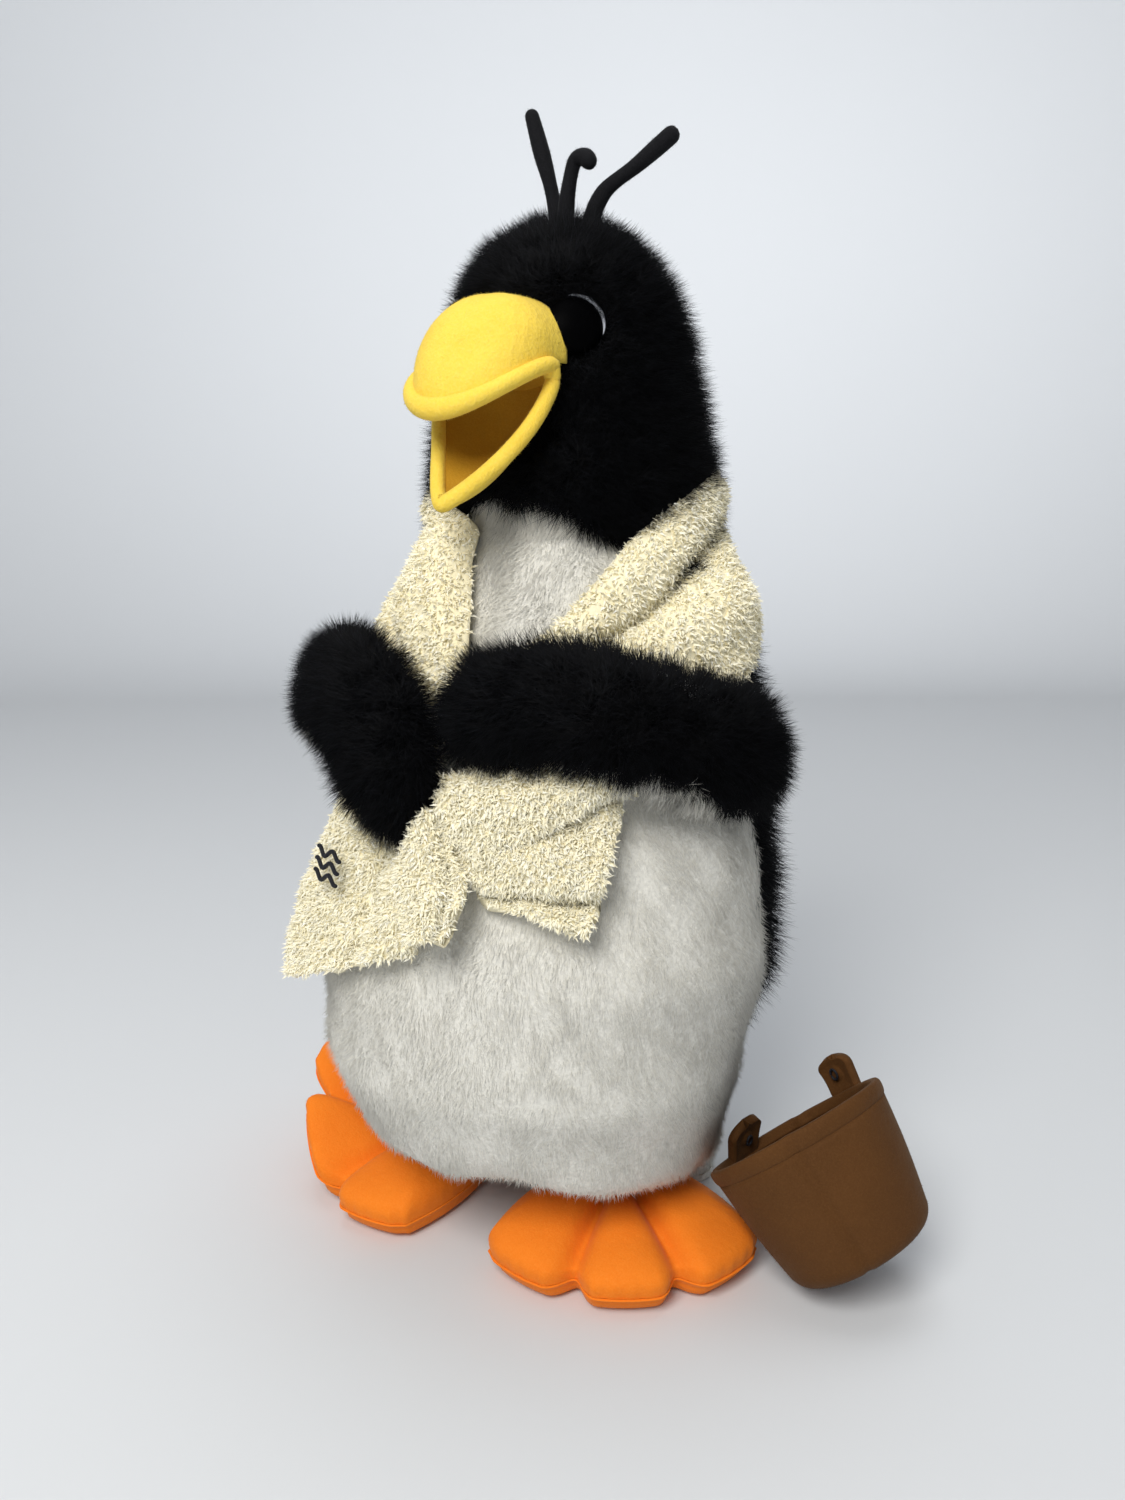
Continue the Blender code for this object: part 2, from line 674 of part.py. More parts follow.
def foot_outline(sides=36):
    """Angle, reach from the heel, and how deep in a valley between toes, round the foot from the middle toe."""
    made = []
    for i in range(sides):
        angle = 360 * i / sides
        off = min(angle, 360 - angle)
        edge = 1.5 * TOE_SPREAD
        valley = math.exp(-(((off - TOE_SPREAD / 2) / 6) ** 2))
        if off <= edge:
            lobe = abs(math.cos(math.radians(180 * off / TOE_SPREAD))) ** 0.7
            reach = TOE_LENGTH * (0.76 + 0.20 * lobe + 0.05 * min(off / TOE_SPREAD, 1.0))
        else:
            fall = (off - edge) / (180 - edge)
            reach = HEEL_RADIUS + (TOE_LENGTH * 0.81 - HEEL_RADIUS) * (1 - fall) ** 2.2
        made.append((angle, reach, valley))
    return made


def foot_point(angle, reach, height, heel, splay, curl):
    a = math.radians(splay + angle)
    point = Vector((heel.x + reach * math.sin(a), heel.y - reach * math.cos(a), height))
    beyond = max(abs(point.x) - CURL_START, 0.0)
    point.z += curl * beyond**2 / (beyond + 0.012)
    return point


def foot(word, heel, splay, curl):
    """Three plump toes in one upper, a flat sole below it, and the filling between them."""
    base = Vector((heel[0], heel[1] + AXIS_Y, 0))

    def ring(share, height):
        points = []
        for angle, reach, valley in foot_outline():
            dip = max(height - SOLE_HEIGHT, 0.0) * VALLEY_DEPTH * valley
            points.append(foot_point(angle, reach * share, height - dip, base, splay, curl))
        return points

    rise = FOOT_HEIGHT - SOLE_HEIGHT
    flat = (0.04, 0.45, 0.75, 0.88)
    upper = [ring(dome(s) - FELT / TOE_LENGTH, SOLE_HEIGHT + 2 * GAP + (rise - FELT) * s) for s in DOME_STEPS]
    obj = add(f"{word}_foot_upper", loft(upper, ring=True), "orange_velour")
    upward(obj.data)
    shell(obj, FELT)
    sole = [ring(share, 0.0) for share in flat] + [ring(0.97, 0.003), ring(1.0, SOLE_HEIGHT)]
    sole += [ring(0.955, SOLE_HEIGHT)] + [ring(share, SOLE_CLOTH) for share in flat[::-1]]
    add(f"{word}_foot_sole", loft(sole, ring=True, ends=True), "orange_velour")
    fill = [ring(share, SOLE_CLOTH + 5 * GAP) for share in (*flat[:-1], 0.84)]
    fill += [ring(0.88, SOLE_HEIGHT)]
    fill += [ring(max(dome(s) - 0.11, 0.04), SOLE_HEIGHT + (rise - FELT - 0.0018) * s) for s in DOME_STEPS[1:]]
    add(f"{word}_foot_stuffing", loft(fill, ring=True, ends=True), "filling")


def dome(share):
    """How wide a toe's rounded top still is at a share of its height."""
    return max(1 - share**2.6, 0.0) ** 0.45


DRAWN_RISE = 0.060  # from the shoulders to the neck where the towel's heights were chosen


def draped(outline):
    """The towel's chosen places, where a height above the shoulders keeps its share of the way to the neck."""
    stretch = (NECK_HEIGHT - SHOULDER_HEIGHT) / DRAWN_RISE
    moved = []
    for inner_turn, inner, outer_turn, outer in outline:
        inner += max(inner - SHOULDER_HEIGHT, 0.0) * (stretch - 1)
        outer += max(outer - SHOULDER_HEIGHT, 0.0) * (stretch - 1)
        moved.append((inner_turn, inner, outer_turn, outer))
    return moved


SHAWL = [
    # turn and height of the inner edge, then of the outer edge, from the right front round the neck
    (4.0, 0.229, -20.0, 0.226),
    (-7.0, 0.254, -52.0, 0.240),
    (-11.0, 0.272, -78.0, 0.246),
    (-24.0, 0.282, -104.0, 0.249),
    (-85.0, 0.288, -136.0, 0.248),
    (-180.0, 0.292, -180.0, 0.246),
    (-250.0, 0.290, -228.0, 0.245),
    (-300.0, 0.281, -256.0, 0.241),
    (-330.0, 0.255, -282.0, 0.238),
    (-345.0, 0.238, -302.0, 0.232),
    (-351.0, 0.229, -318.0, 0.226),
]


def sheet_rows(outline, stand, across, along=3):
    """Rows of points across a piece of towel that lies stand off the toy, from pairs of edge points."""
    line = smooth_line(outline, along * (len(outline) - 1) + 1)
    rows = []
    for inner_turn, inner_height, outer_turn, outer_height in line:
        row = []
        for share in steps(0, 1, across):
            turn = inner_turn + (outer_turn - inner_turn) * share
            height = inner_height + (outer_height - inner_height) * share
            row.append(on_toy(height, turn, stand))
        rows.append(row)
    return rows


RIGHT_TAIL = [(-27.0, 0.190, -4.5, 0.184), (-32.0, 0.166, 3.0, 0.168), (-32.0, 0.140, 5.0, 0.150),
              (-26.0, 0.121, 3.0, 0.140)]
KNOT = [(2.5, 0.176, 9.0, 0.188), (7.0, 0.165, 13.5, 0.174), (7.5, 0.148, 14.5, 0.161)]
LEFT_TAIL = [(12.5, 0.195, 17.0, 0.165), (25.0, 0.198, 22.0, 0.159), (40.0, 0.199, 33.0, 0.156),
             (48.0, 0.193, 41.0, 0.155)]


def towel():
    for name, outline, thickness, across in (
        ("towel_shawl", SHAWL, TOWEL, 8),
        ("towel_right_tail", RIGHT_TAIL, TOWEL, 6),
        ("towel_knot", KNOT, TOWEL_FOLDED, 4),
        ("towel_left_tail", LEFT_TAIL, TOWEL_FOLDED, 6),
    ):
        piece = add(name, loft(sheet_rows(draped(outline), TOWEL_STAND, across)), "terry")
        outward(piece.data)
        shell(piece, thickness)
    height, turn_at = BADGE_PLACE
    middle = on_toy(height, turn_at, TOWEL_STAND + TOWEL + GAP)
    out = (on_toy(height, turn_at, 0.03) - middle).normalized()
    frame = frame_at(middle, out)
    add("towel_badge", cylinder("badge", BADGE_RADIUS, 0.0006, 0.0018, frame), "thread")


def tail():
    """Two layers of black plush in a pointed flap that bends where it is sewn to the back."""
    root = on_toy(TAIL_HEIGHT, 180, 0.0015)
    hinge = pivot("tail_pivot", root, Vector((1, 0, 0)))
    droop = math.radians(30)
    along = Vector((0, math.cos(droop), -math.sin(droop)))
    upright = Vector((0, math.sin(droop), math.cos(droop)))
    for name, lift in (("tail_top", 0.002 + 2 * GAP), ("tail_underside", 0.0)):
        rows = []
        for share in (0.0, 0.25, 0.5, 0.75, 0.95):
            half = TAIL_HALF_WIDTH * (1 - share**1.6) + 0.002
            row = []
            for x in [half * across for across in steps(-1, 1, 9)]:
                wrap = Vector((x, -(x**2) / 0.10 * (1 - share), 0))
                row.append(root + wrap + along * (0.003 + TAIL_LENGTH * share) + upright * lift)
            rows.append(row)
        piece = add(name, loft(rows), "black_plush", hinge)
        upward(piece.data)
        shell(piece, 0.002)


def bucket():
    """A tapered plush bucket that leans on the toy's left hip, tacked to it by one thread."""
    lean = math.radians(BUCKET_LEAN)
    away = math.radians(BUCKET_AWAY)
    towards = Vector((-math.cos(away), math.sin(away), 0))
    axis = (towards * math.sin(lean) + UP * math.cos(lean)).normalized()
    side = UP.cross(towards).normalized()
    reach = BUCKET_HEIGHT * math.sin(lean) + BUCKET_RIM_RADIUS * math.cos(lean)
    base = Vector((BUCKET_RIM_X, BUCKET_RIM_Y, BUCKET_BASE_RADIUS * math.sin(lean) + 0.0002)) - towards * reach
    turn = Matrix(((*side.cross(axis),), (*side,), (*axis,))).transposed()
    frame = Matrix.Translation(base) @ turn.to_4x4()
    downhill = (towards - axis * towards.dot(axis)).normalized()
    hinge = pivot("bucket_pivot", base + axis * BUCKET_HEIGHT + downhill * BUCKET_RIM_RADIUS, side)
    grow = (BUCKET_RIM_RADIUS - BUCKET_BASE_RADIUS) / BUCKET_HEIGHT
    wall = [
        (BUCKET_BASE_RADIUS + grow * BUCKET_FLOOR, BUCKET_FLOOR + GAP),
        (BUCKET_RIM_RADIUS - grow * BUCKET_HEM, BUCKET_HEIGHT - BUCKET_HEM),
    ]
    wall_profile = wall[::-1] + [(r - BUCKET_WALL, z) for r, z in wall] + [wall[1]]
    turned("bucket_wall", wall_profile, frame, "brown_velour", hinge, sides=24)
    radius = BUCKET_BASE_RADIUS
    base_profile = [(0, BUCKET_FLOOR), (radius, BUCKET_FLOOR), (radius - 0.001, 0), (0, 0)]
    turned("bucket_base", base_profile, frame, "brown_velour", hinge, sides=24)
    outer, inner = BUCKET_RIM_RADIUS + 0.0008, BUCKET_RIM_RADIUS - BUCKET_WALL - 0.001
    low = BUCKET_HEIGHT - BUCKET_HEM + GAP
    top = BUCKET_HEIGHT
    hem_profile = [(outer, top), (outer, low), (inner, low), (inner, top), (outer, top)]
    turned("bucket_hem", hem_profile, frame, "brown_velour", hinge, sides=24)
    for word in LUG_PLACES:
        lug(word, frame, hinge)


def lug(word, frame, hinge):
    """A round-topped tab with an eyelet, standing on the bucket's hem."""
    angle, tilt = [math.radians(degrees) for degrees in LUG_PLACES[word]]
    rise = GAP + LUG_THICKNESS / 2 * math.sin(tilt)
    foot_place = Matrix.Translation((BUCKET_RIM_RADIUS - 0.0025, 0, BUCKET_HEIGHT + rise))
    place = Matrix.Rotation(angle, 4, "Z") @ foot_place @ Matrix.Rotation(-tilt, 4, "Y")
    width, middle = LUG_HALF_WIDTH, LUG_HEIGHT - LUG_HALF_WIDTH
    outline = [(-width, 0), (width, 0)]
    outline += [(width * math.cos(a), middle + width * math.sin(a)) for a in steps(0, math.pi, 9)]
    around = steps(0, 1.75 * math.pi, 8)
    hole = [(EYELET_RADIUS * math.cos(a), middle + EYELET_RADIUS * math.sin(a)) for a in around]
    curve = bpy.data.curves.new(f"{word}_bucket_lug", "CURVE")
    curve.dimensions = "2D"
    curve.fill_mode = "BOTH"
    curve.extrude = LUG_THICKNESS / 2
    for ring in (outline, hole):
        line = curve.splines.new("POLY")
        line.points.add(len(ring) - 1)
        line.use_cyclic_u = True
        for i, (x, y) in enumerate(ring):
            line.points[i].co = (x, y, 0, 1)
    obj = bpy.data.objects.new(f"{word}_bucket_lug", curve)
    PARTS.objects.link(obj)
    curve.materials.append(MATERIALS["brown_velour"])
    stand = Matrix(((0, 0, 1, 0), (1, 0, 0, 0), (0, 1, 0, 0), (0, 0, 0, 1)))
    obj.matrix_world = frame @ place @ stand
    obj.parent = hinge
    obj.matrix_parent_inverse = hinge.matrix_world.inverted()



clear_scene()
PARTS, CUTTERS = make_collections()
MATERIALS = make_materials()
body()
NECK = head()
upper_beak(NECK)
lower_beak(NECK)
crest(NECK)
wing("left", LEFT_WING)
wing("right", RIGHT_WING)
foot("left", (0.035, -0.016), 35.0, 0.0)
foot("right", (-0.046, -0.022), -33.0, 0.95)
towel()
tail()
bucket()
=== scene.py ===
"""Looks of the plush penguin: long pile, short pile, fleece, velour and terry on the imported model.

Metres, +Z up. The toy faces -Y and its own left is +X. A place on the toy is a height and a turn, which is
the angle in degrees round its upright axis from straight ahead towards its left.
"""

from __future__ import annotations

import json
import logging
import math
from dataclasses import dataclass, field
from enum import Enum

import bmesh
import bpy
import numpy as np
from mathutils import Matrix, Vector

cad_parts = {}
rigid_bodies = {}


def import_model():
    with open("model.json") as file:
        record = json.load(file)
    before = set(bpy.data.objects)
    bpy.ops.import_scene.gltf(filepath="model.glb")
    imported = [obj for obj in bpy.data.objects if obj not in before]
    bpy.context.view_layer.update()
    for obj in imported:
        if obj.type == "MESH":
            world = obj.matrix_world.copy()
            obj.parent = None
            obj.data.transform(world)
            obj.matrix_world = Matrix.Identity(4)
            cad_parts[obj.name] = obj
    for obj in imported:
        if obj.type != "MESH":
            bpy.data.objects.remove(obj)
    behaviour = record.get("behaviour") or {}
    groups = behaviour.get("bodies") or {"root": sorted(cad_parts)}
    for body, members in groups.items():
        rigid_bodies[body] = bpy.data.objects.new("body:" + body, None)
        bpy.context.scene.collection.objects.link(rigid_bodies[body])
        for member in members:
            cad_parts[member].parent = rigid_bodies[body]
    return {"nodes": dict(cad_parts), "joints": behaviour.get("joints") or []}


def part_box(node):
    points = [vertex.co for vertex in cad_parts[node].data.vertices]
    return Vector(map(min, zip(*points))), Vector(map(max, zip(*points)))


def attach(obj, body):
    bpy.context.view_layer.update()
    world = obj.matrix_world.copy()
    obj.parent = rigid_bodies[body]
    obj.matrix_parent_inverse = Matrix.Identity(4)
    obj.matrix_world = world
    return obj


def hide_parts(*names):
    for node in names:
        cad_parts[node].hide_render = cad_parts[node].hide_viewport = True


for startup in list(bpy.data.objects):
    bpy.data.objects.remove(startup)
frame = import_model()

Array = np.ndarray
Colour = tuple[float, float, float]
LOG = logging.getLogger("plush_penguin")
UP = np.array([0.0, 0.0, 1.0])
BAKE_MAP = "OFBake"


# ---------------------------------------------------------------- arrays


def unit(vectors: Array) -> Array:
    """The vectors at length one.

    Args:
        vectors: any array whose last axis is x, y, z.

    Returns:
        An array of the same shape.
    """
    return vectors / np.maximum(np.linalg.norm(vectors, axis=-1, keepdims=True), 1e-9)


def spline(points: Array, count: int) -> Array:
    """A smooth line through a few chosen points, as a Catmull-Rom curve: each stretch is a cubic whose slope
    at a point is half the step between that point's neighbours.

    Args:
        points: k rows of any width.
        count: how many places to read it at, evenly by point number.

    Returns:
        count rows of the same width.
    """
    points = np.asarray(points, float)
    padded = np.concatenate([points[:1], points, points[-1:]])
    place = np.linspace(0, len(points) - 1, count)
    i = np.minimum(place.astype(int), len(points) - 2)
    f = (place - i)[:, None]
    p, q, r, s = (padded[i + n] for n in range(4))
    return q + 0.5 * f * ((r - p) + f * (2 * p - 5 * q + 4 * r - s + f * (3 * q - p - 3 * r + s)))


def ripple(points: Array, size: float, rng: np.random.Generator, waves: int = 5) -> Array:
    """Smooth vector noise: the mean of a few sine waves of random direction, about size from crest to crest.

    Args:
        points: n places.
        size: the waves' length in metres.
        rng: the source of directions and phases.
        waves: how many are added.

    Returns:
        n vectors whose parts lie between -1 and 1.
    """
    total = np.zeros_like(points)
    for _ in range(waves):
        way = unit(rng.normal(size=(3, 3))) * (2 * math.pi / size) * rng.uniform(0.7, 1.5, (3, 1))
        total += np.sin(points @ way.T + rng.uniform(0, 2 * math.pi, 3))
    return total / waves * 1.6


def bump_at(values: Array, middle: float, width: float) -> Array:
    """A smooth hill of height one: the Gaussian of the distance from middle, in widths."""
    return np.exp(-(((values - middle) / width) ** 2))


def bell_edge(values: Array, start: float, end: float) -> Array:
    """Eases from 0 at start to 1 at end along the smoothstep cubic."""
    t = np.clip((values - start) / (end - start), 0, 1)
    return t * t * (3 - 2 * t)


# ---------------------------------------------------------------- shaders


class Signal:
    """A shader socket that works in Python expressions."""

    def __init__(self, graph: Graph, socket: bpy.types.NodeSocket) -> None:
        """Keeps the socket and the graph that it is in."""
        self.graph = graph
        self.socket = socket

    def _math(self, operation: str, first: object, second: object) -> Signal:
        """One Math node on two values."""
        return self.graph.node("ShaderNodeMath", {"operation": operation}, {0: first, 1: second})

    def __add__(self, other: object) -> Signal:
        """Sum."""
        return self._math("ADD", self, other)

    __radd__ = __add__

    def __mul__(self, other: object) -> Signal:
        """Product."""
        return self._math("MULTIPLY", self, other)

    __rmul__ = __mul__

    def __sub__(self, other: object) -> Signal:
        """Difference."""
        return self._math("SUBTRACT", self, other)

    def __rsub__(self, other: object) -> Signal:
        """Difference, with this signal taken from a number."""
        return self._math("SUBTRACT", other, self)

    def __pow__(self, power: float) -> Signal:
        """Power."""
        return self._math("POWER", self, power)


class Graph:
    """The node tree of one material, around its Principled BSDF."""

    def __init__(self, name: str) -> None:
        """Makes the material."""
        self.material = bpy.data.materials.new(name)
        self.material.use_nodes = True
        self.tree = self.material.node_tree
        self.shader = self.tree.nodes["Principled BSDF"]

    def node(
        self, kind: str, settings: dict | None = None, inputs: dict | None = None, out: int | str = 0
    ) -> Signal:
        """Adds any node.

        Args:
            kind: the node's type.
            settings: its properties, set first.
            inputs: a value or a Signal for each socket, by name or number.
            out: which output to hand back.

        Returns:
            That output.
        """
        made = self.tree.nodes.new(kind)
        for key, value in (settings or {}).items():
            setattr(made, key, value)
        for key, value in (inputs or {}).items():
            self.feed(made.inputs[key], value)
        return Signal(self, made.outputs[out])

    def feed(self, socket: bpy.types.NodeSocket, value: object) -> None:
        """Links a Signal to a socket, or sets its value, padding a colour with alpha."""
        if isinstance(value, Signal):
            self.tree.links.new(value.socket, socket)
        elif isinstance(value, tuple) and len(value) == 3 and socket.type == "RGBA":
            socket.default_value = (*value, 1.0)
        else:
            socket.default_value = value

    def mix(self, amount: object, first: object, second: object) -> Signal:
        """A colour between two colours."""
        settings = {"data_type": "RGBA", "clamp_factor": True}
        return self.node("ShaderNodeMix", settings, {0: amount, 6: first, 7: second}, out=2)

    def place(self) -> Signal:
        """Object coordinates."""
        return self.node("ShaderNodeTexCoord", out="Object")

    def noise(self, scale: float, detail: float = 3.0) -> Signal:
        """Noise in Object coordinates.

        Args:
            scale: features for each metre.
            detail: octaves.

        Returns:
            A value near 0.5.
        """
        return self.node("ShaderNodeTexNoise", {}, {"Vector": self.place(), "Scale": scale, "Detail": detail})

    def attribute(self, name: str) -> Signal:
        """A number that the mesh carries at each point."""
        return self.node("ShaderNodeAttribute", {"attribute_name": name}, out="Fac")

    def bump(self, height: Signal, strength: float, distance: float) -> None:
        """Raises the surface in shading by a height signal."""
        inputs = {"Height": height, "Strength": strength, "Distance": distance}
        self.feed(self.shader.inputs["Normal"], self.node("ShaderNodeBump", {}, inputs))

    def set(self, **values: object) -> None:
        """Sets the shader's sockets, named with underscores for spaces."""
        for key, value in values.items():
            self.feed(self.shader.inputs[key.replace("_", " ")], value)


@dataclass(frozen=True)
class PileFinish:
    """The colour of pile: root and tip, and the lighter shade that some strands have."""

    name: str
    slot: str
    root: Colour
    tip: Colour
    light: Colour
    roughness: float
    specular: float = 0.3
    sheen: float = 0.0

    def build(self) -> bpy.types.Material:
        """The colour runs from root to tip along the strand and leans to the light shade by its own tint."""
        graph = Graph(self.name)
        body = graph.mix(graph.attribute("along"), self.root, self.tip)
        tint = graph.attribute("tint") ** 3.0
        graph.set(Base_Color=graph.mix(tint, body, self.light))
        graph.set(Roughness=self.roughness, Specular_IOR_Level=self.specular, Sheen_Weight=self.sheen)
        return graph.material


@dataclass(frozen=True)
class SkinFinish:
    """The woven backing under pile: two colours told apart by the mesh's white attribute."""

    name: str
    dark: Colour
    pale: Colour

    def build(self) -> bpy.types.Material:
        """Pale where the attribute is one, with a fine knit bump."""
        graph = Graph(self.name)
        shade = graph.mix(graph.attribute("white"), self.dark, self.pale)
        grain = graph.noise(900.0, 2.0)
        graph.set(Base_Color=graph.mix(grain * 0.35, shade, self.dark))
        graph.set(Roughness=0.95, Specular_IOR_Level=0.1)
        graph.bump(grain, 0.5, 0.0006)
        return graph.material


@dataclass(frozen=True)
class ClothFinish:
    """Fleece, velour or felt: a soft matt cloth with a fine nap and broad shading."""

    name: str
    colour: Colour
    deep: Colour
    light: Colour
    nap: float = 1400.0
    nap_depth: float = 0.00025
    roughness: float = 0.9
    sheen: float = 0.25
    sheen_tint: Colour = (1.0, 1.0, 1.0)

    def build(self) -> bpy.types.Material:
        """Broad patches lean to the deep colour where the nap lies over, and fine grain to the light one."""
        graph = Graph(self.name)
        broad = graph.noise(42.0, 2.0)
        grain = graph.noise(self.nap, 3.0)
        fluff = graph.noise(self.nap * 0.28, 4.0)
        shade = graph.mix((broad - 0.35) * 1.1, self.colour, self.deep)
        shade = graph.mix((grain - 0.42) * 0.9, shade, self.light)
        graph.set(Base_Color=shade, Roughness=self.roughness - 0.1 * broad, Specular_IOR_Level=0.2)
        graph.set(Sheen_Weight=self.sheen, Sheen_Roughness=0.4, Sheen_Tint=self.sheen_tint)
        graph.bump(grain + fluff * 1.6, 0.55, self.nap_depth)
        return graph.material


@dataclass(frozen=True)
class PlasticFinish:
    """Moulded plastic."""

    name: str
    colour: Colour
    roughness: float
    specular: float

    def build(self) -> bpy.types.Material:
        """A clean moulding with the faintest haze of handling."""
        graph = Graph(self.name)
        haze = graph.noise(160.0, 4.0)
        graph.set(Base_Color=graph.mix(haze * 0.02, self.colour, (0.05, 0.05, 0.055)))
        graph.set(Roughness=self.roughness + haze * 0.04, Specular_IOR_Level=self.specular)
        return graph.material


@dataclass(frozen=True)
class FillingFinish:
    """Loose polyester filling, inside."""

    name: str
    colour: Colour

    def build(self) -> bpy.types.Material:
        """White fibre with soft lumps."""
        graph = Graph(self.name)
        lumps = graph.noise(90.0, 6.0)
        graph.set(Base_Color=graph.mix(lumps, self.colour, (0.5, 0.5, 0.49)), Roughness=1.0)
        graph.bump(lumps, 0.8, 0.002)
        return graph.material


@dataclass(frozen=True)
class StudioFinish:
    """The pale sweep that the toy stands on."""

    name: str
    colour: Colour

    def build(self) -> bpy.types.Material:
        """Matt paper."""
        graph = Graph(self.name)
        tone = graph.noise(1.2, 2.0)
        graph.set(Base_Color=graph.mix(tone * 0.3, self.colour, tuple(0.93 * c for c in self.colour)))
        graph.set(Roughness=0.95, Specular_IOR_Level=0.1)
        return graph.material


class Finish(Enum):
    """Every finish of the toy, by what it is made of."""

    BLACK_PILE = PileFinish(
        "black_long_pile", "black_plush", (0.0004, 0.0004, 0.0007), (0.0016, 0.0017, 0.0024),
        (0.009, 0.010, 0.013), 0.6, 0.10,
    )
    WHITE_PILE = PileFinish(
        "white_short_pile", "white_plush", (0.80, 0.77, 0.68), (0.88, 0.855, 0.77),
        (0.95, 0.93, 0.86), 0.85, 0.15,
    )
    TERRY_LOOPS = PileFinish(
        "terry_loops", "terry", (0.93, 0.85, 0.60), (0.98, 0.93, 0.74), (1.0, 0.98, 0.88), 0.9, 0.15,
    )
    YELLOW_FUZZ = PileFinish(
        "yellow_fuzz", "yellow_fleece", (0.90, 0.63, 0.07), (0.97, 0.72, 0.11), (1.0, 0.78, 0.28), 0.9, 0.1,
    )
    ORANGE_FUZZ = PileFinish(
        "orange_fuzz", "orange_velour", (0.90, 0.22, 0.012), (0.97, 0.30, 0.025), (1.0, 0.42, 0.08), 0.9, 0.1,
    )
    BROWN_FUZZ = PileFinish(
        "brown_fuzz", "brown_velour", (0.085, 0.033, 0.009), (0.115, 0.046, 0.013),
        (0.17, 0.082, 0.030), 0.9, 0.05,
    )
    SKIN = SkinFinish("pile_backing", (0.0008, 0.0008, 0.0012), (0.88, 0.86, 0.79))
    TERRY_GROUND = ClothFinish(
        "terry_ground", (0.93, 0.86, 0.62), (0.80, 0.68, 0.40), (0.98, 0.94, 0.78), 700.0, 0.0003, 0.95, 0.1,
    )
    YELLOW_FLEECE = ClothFinish(
        "yellow_fleece", (0.93, 0.67, 0.085), (0.80, 0.48, 0.03), (1.0, 0.76, 0.20), 1100.0, 0.0006,
        0.9, 0.12,
        (1.0, 0.95, 0.6),
    )
    MOUTH_FELT = ClothFinish(
        "mouth_felt", (0.50, 0.255, 0.016), (0.36, 0.165, 0.008), (0.62, 0.36, 0.04), 1500.0, 0.0003,
        0.95, 0.0,
    )
    ORANGE_VELOUR = ClothFinish(
        "orange_velour", (0.93, 0.225, 0.012), (0.84, 0.165, 0.006), (1.0, 0.34, 0.05), 1500.0, 0.0003,
        0.85, 0.15,
        (1.0, 0.8, 0.5),
    )
    BROWN_VELOUR = ClothFinish(
        "brown_velour", (0.096, 0.037, 0.008), (0.066, 0.024, 0.004), (0.150, 0.068, 0.020), 1500.0, 0.0003,
        0.9, 0.05, (1.0, 0.75, 0.5),
    )
    BLACK_FELT = ClothFinish(
        "black_felt", (0.0045, 0.0045, 0.006), (0.002, 0.002, 0.003), (0.016, 0.016, 0.02), 1800.0, 0.0003,
        0.9, 0.05,
    )
    THREAD = ClothFinish(
        "black_thread", (0.012, 0.013, 0.018), (0.006, 0.006, 0.01), (0.05, 0.05, 0.06), 2600.0, 0.0002,
        0.6, 0.0,
    )
    PALE_THREAD = ClothFinish(
        "pale_thread", (0.55, 0.50, 0.40), (0.42, 0.36, 0.26), (0.7, 0.66, 0.56), 2600.0, 0.0002, 0.7, 0.0,
    )
    BLACK_PLASTIC = PlasticFinish("eye_plastic", (0.0004, 0.0004, 0.0006), 0.42, 0.01)
    PALE_PLASTIC = PlasticFinish("crescent_plastic", (0.42, 0.44, 0.49), 0.35, 0.5)
    FILLING = FillingFinish("polyester_filling", (0.82, 0.82, 0.80))
    STUDIO = StudioFinish("studio_sweep", (0.72, 0.735, 0.755))


class Wardrobe:
    """Builds each finish once and puts it on pieces."""

    def __init__(self) -> None:
        """Starts empty."""
        self.made: dict[Finish, bpy.types.Material] = {}

    def dress(self, obj: bpy.types.Object, finish: Finish) -> bpy.types.Object:
        """Gives the object that finish alone.

        Args:
            obj: a mesh object.
            finish: what it is made of.

        Returns:
            The same object.
        """
        if finish not in self.made:
            self.made[finish] = finish.value.build()
        obj.data.materials.clear()
        obj.data.materials.append(self.made[finish])
        return obj


WARDROBE = Wardrobe()


# ---------------------------------------------------------------- meshes


def new_object(name: str, mesh: bpy.types.Mesh) -> bpy.types.Object:
    """An object at the origin that holds the mesh."""
    obj = bpy.data.objects.new(name, mesh)
    bpy.context.scene.collection.objects.link(obj)
    return obj


def mesh_of(name: str, points: Array, corners: Array, sizes: Array, uvs: Array) -> bpy.types.Mesh:
    """A smooth mesh from whole arrays.

    Args:
        name: the mesh's name.
        points: n places.
        corners: the faces' point numbers, one face after the other.
        sizes: how many corners each face has.
        uvs: a texture place for each corner.

    Returns:
        The mesh, with its map for baking.
    """
    mesh = bpy.data.meshes.new(name)
    mesh.vertices.add(len(points))
    mesh.vertices.foreach_set("co", np.ascontiguousarray(points, np.float32).ravel())
    mesh.loops.add(len(corners))
    mesh.loops.foreach_set("vertex_index", corners.astype(np.int32))
    mesh.polygons.add(len(sizes))
    starts = np.concatenate([[0], np.cumsum(sizes)[:-1]]).astype(np.int32)
    mesh.polygons.foreach_set("loop_start", starts)
    mesh.update(calc_edges=True)
    mesh.polygons.foreach_set("use_smooth", np.ones(len(sizes), bool))
    layer = mesh.uv_layers.new(name=BAKE_MAP)
    layer.data.foreach_set("uv", np.ascontiguousarray(uvs, np.float32).ravel())
    mesh.validate()
    return mesh


@dataclass
class Roots:
    """Where strands stand: their places, the surface's outward direction there, and their share along it."""

    points: Array
    normals: Array
    along: Array


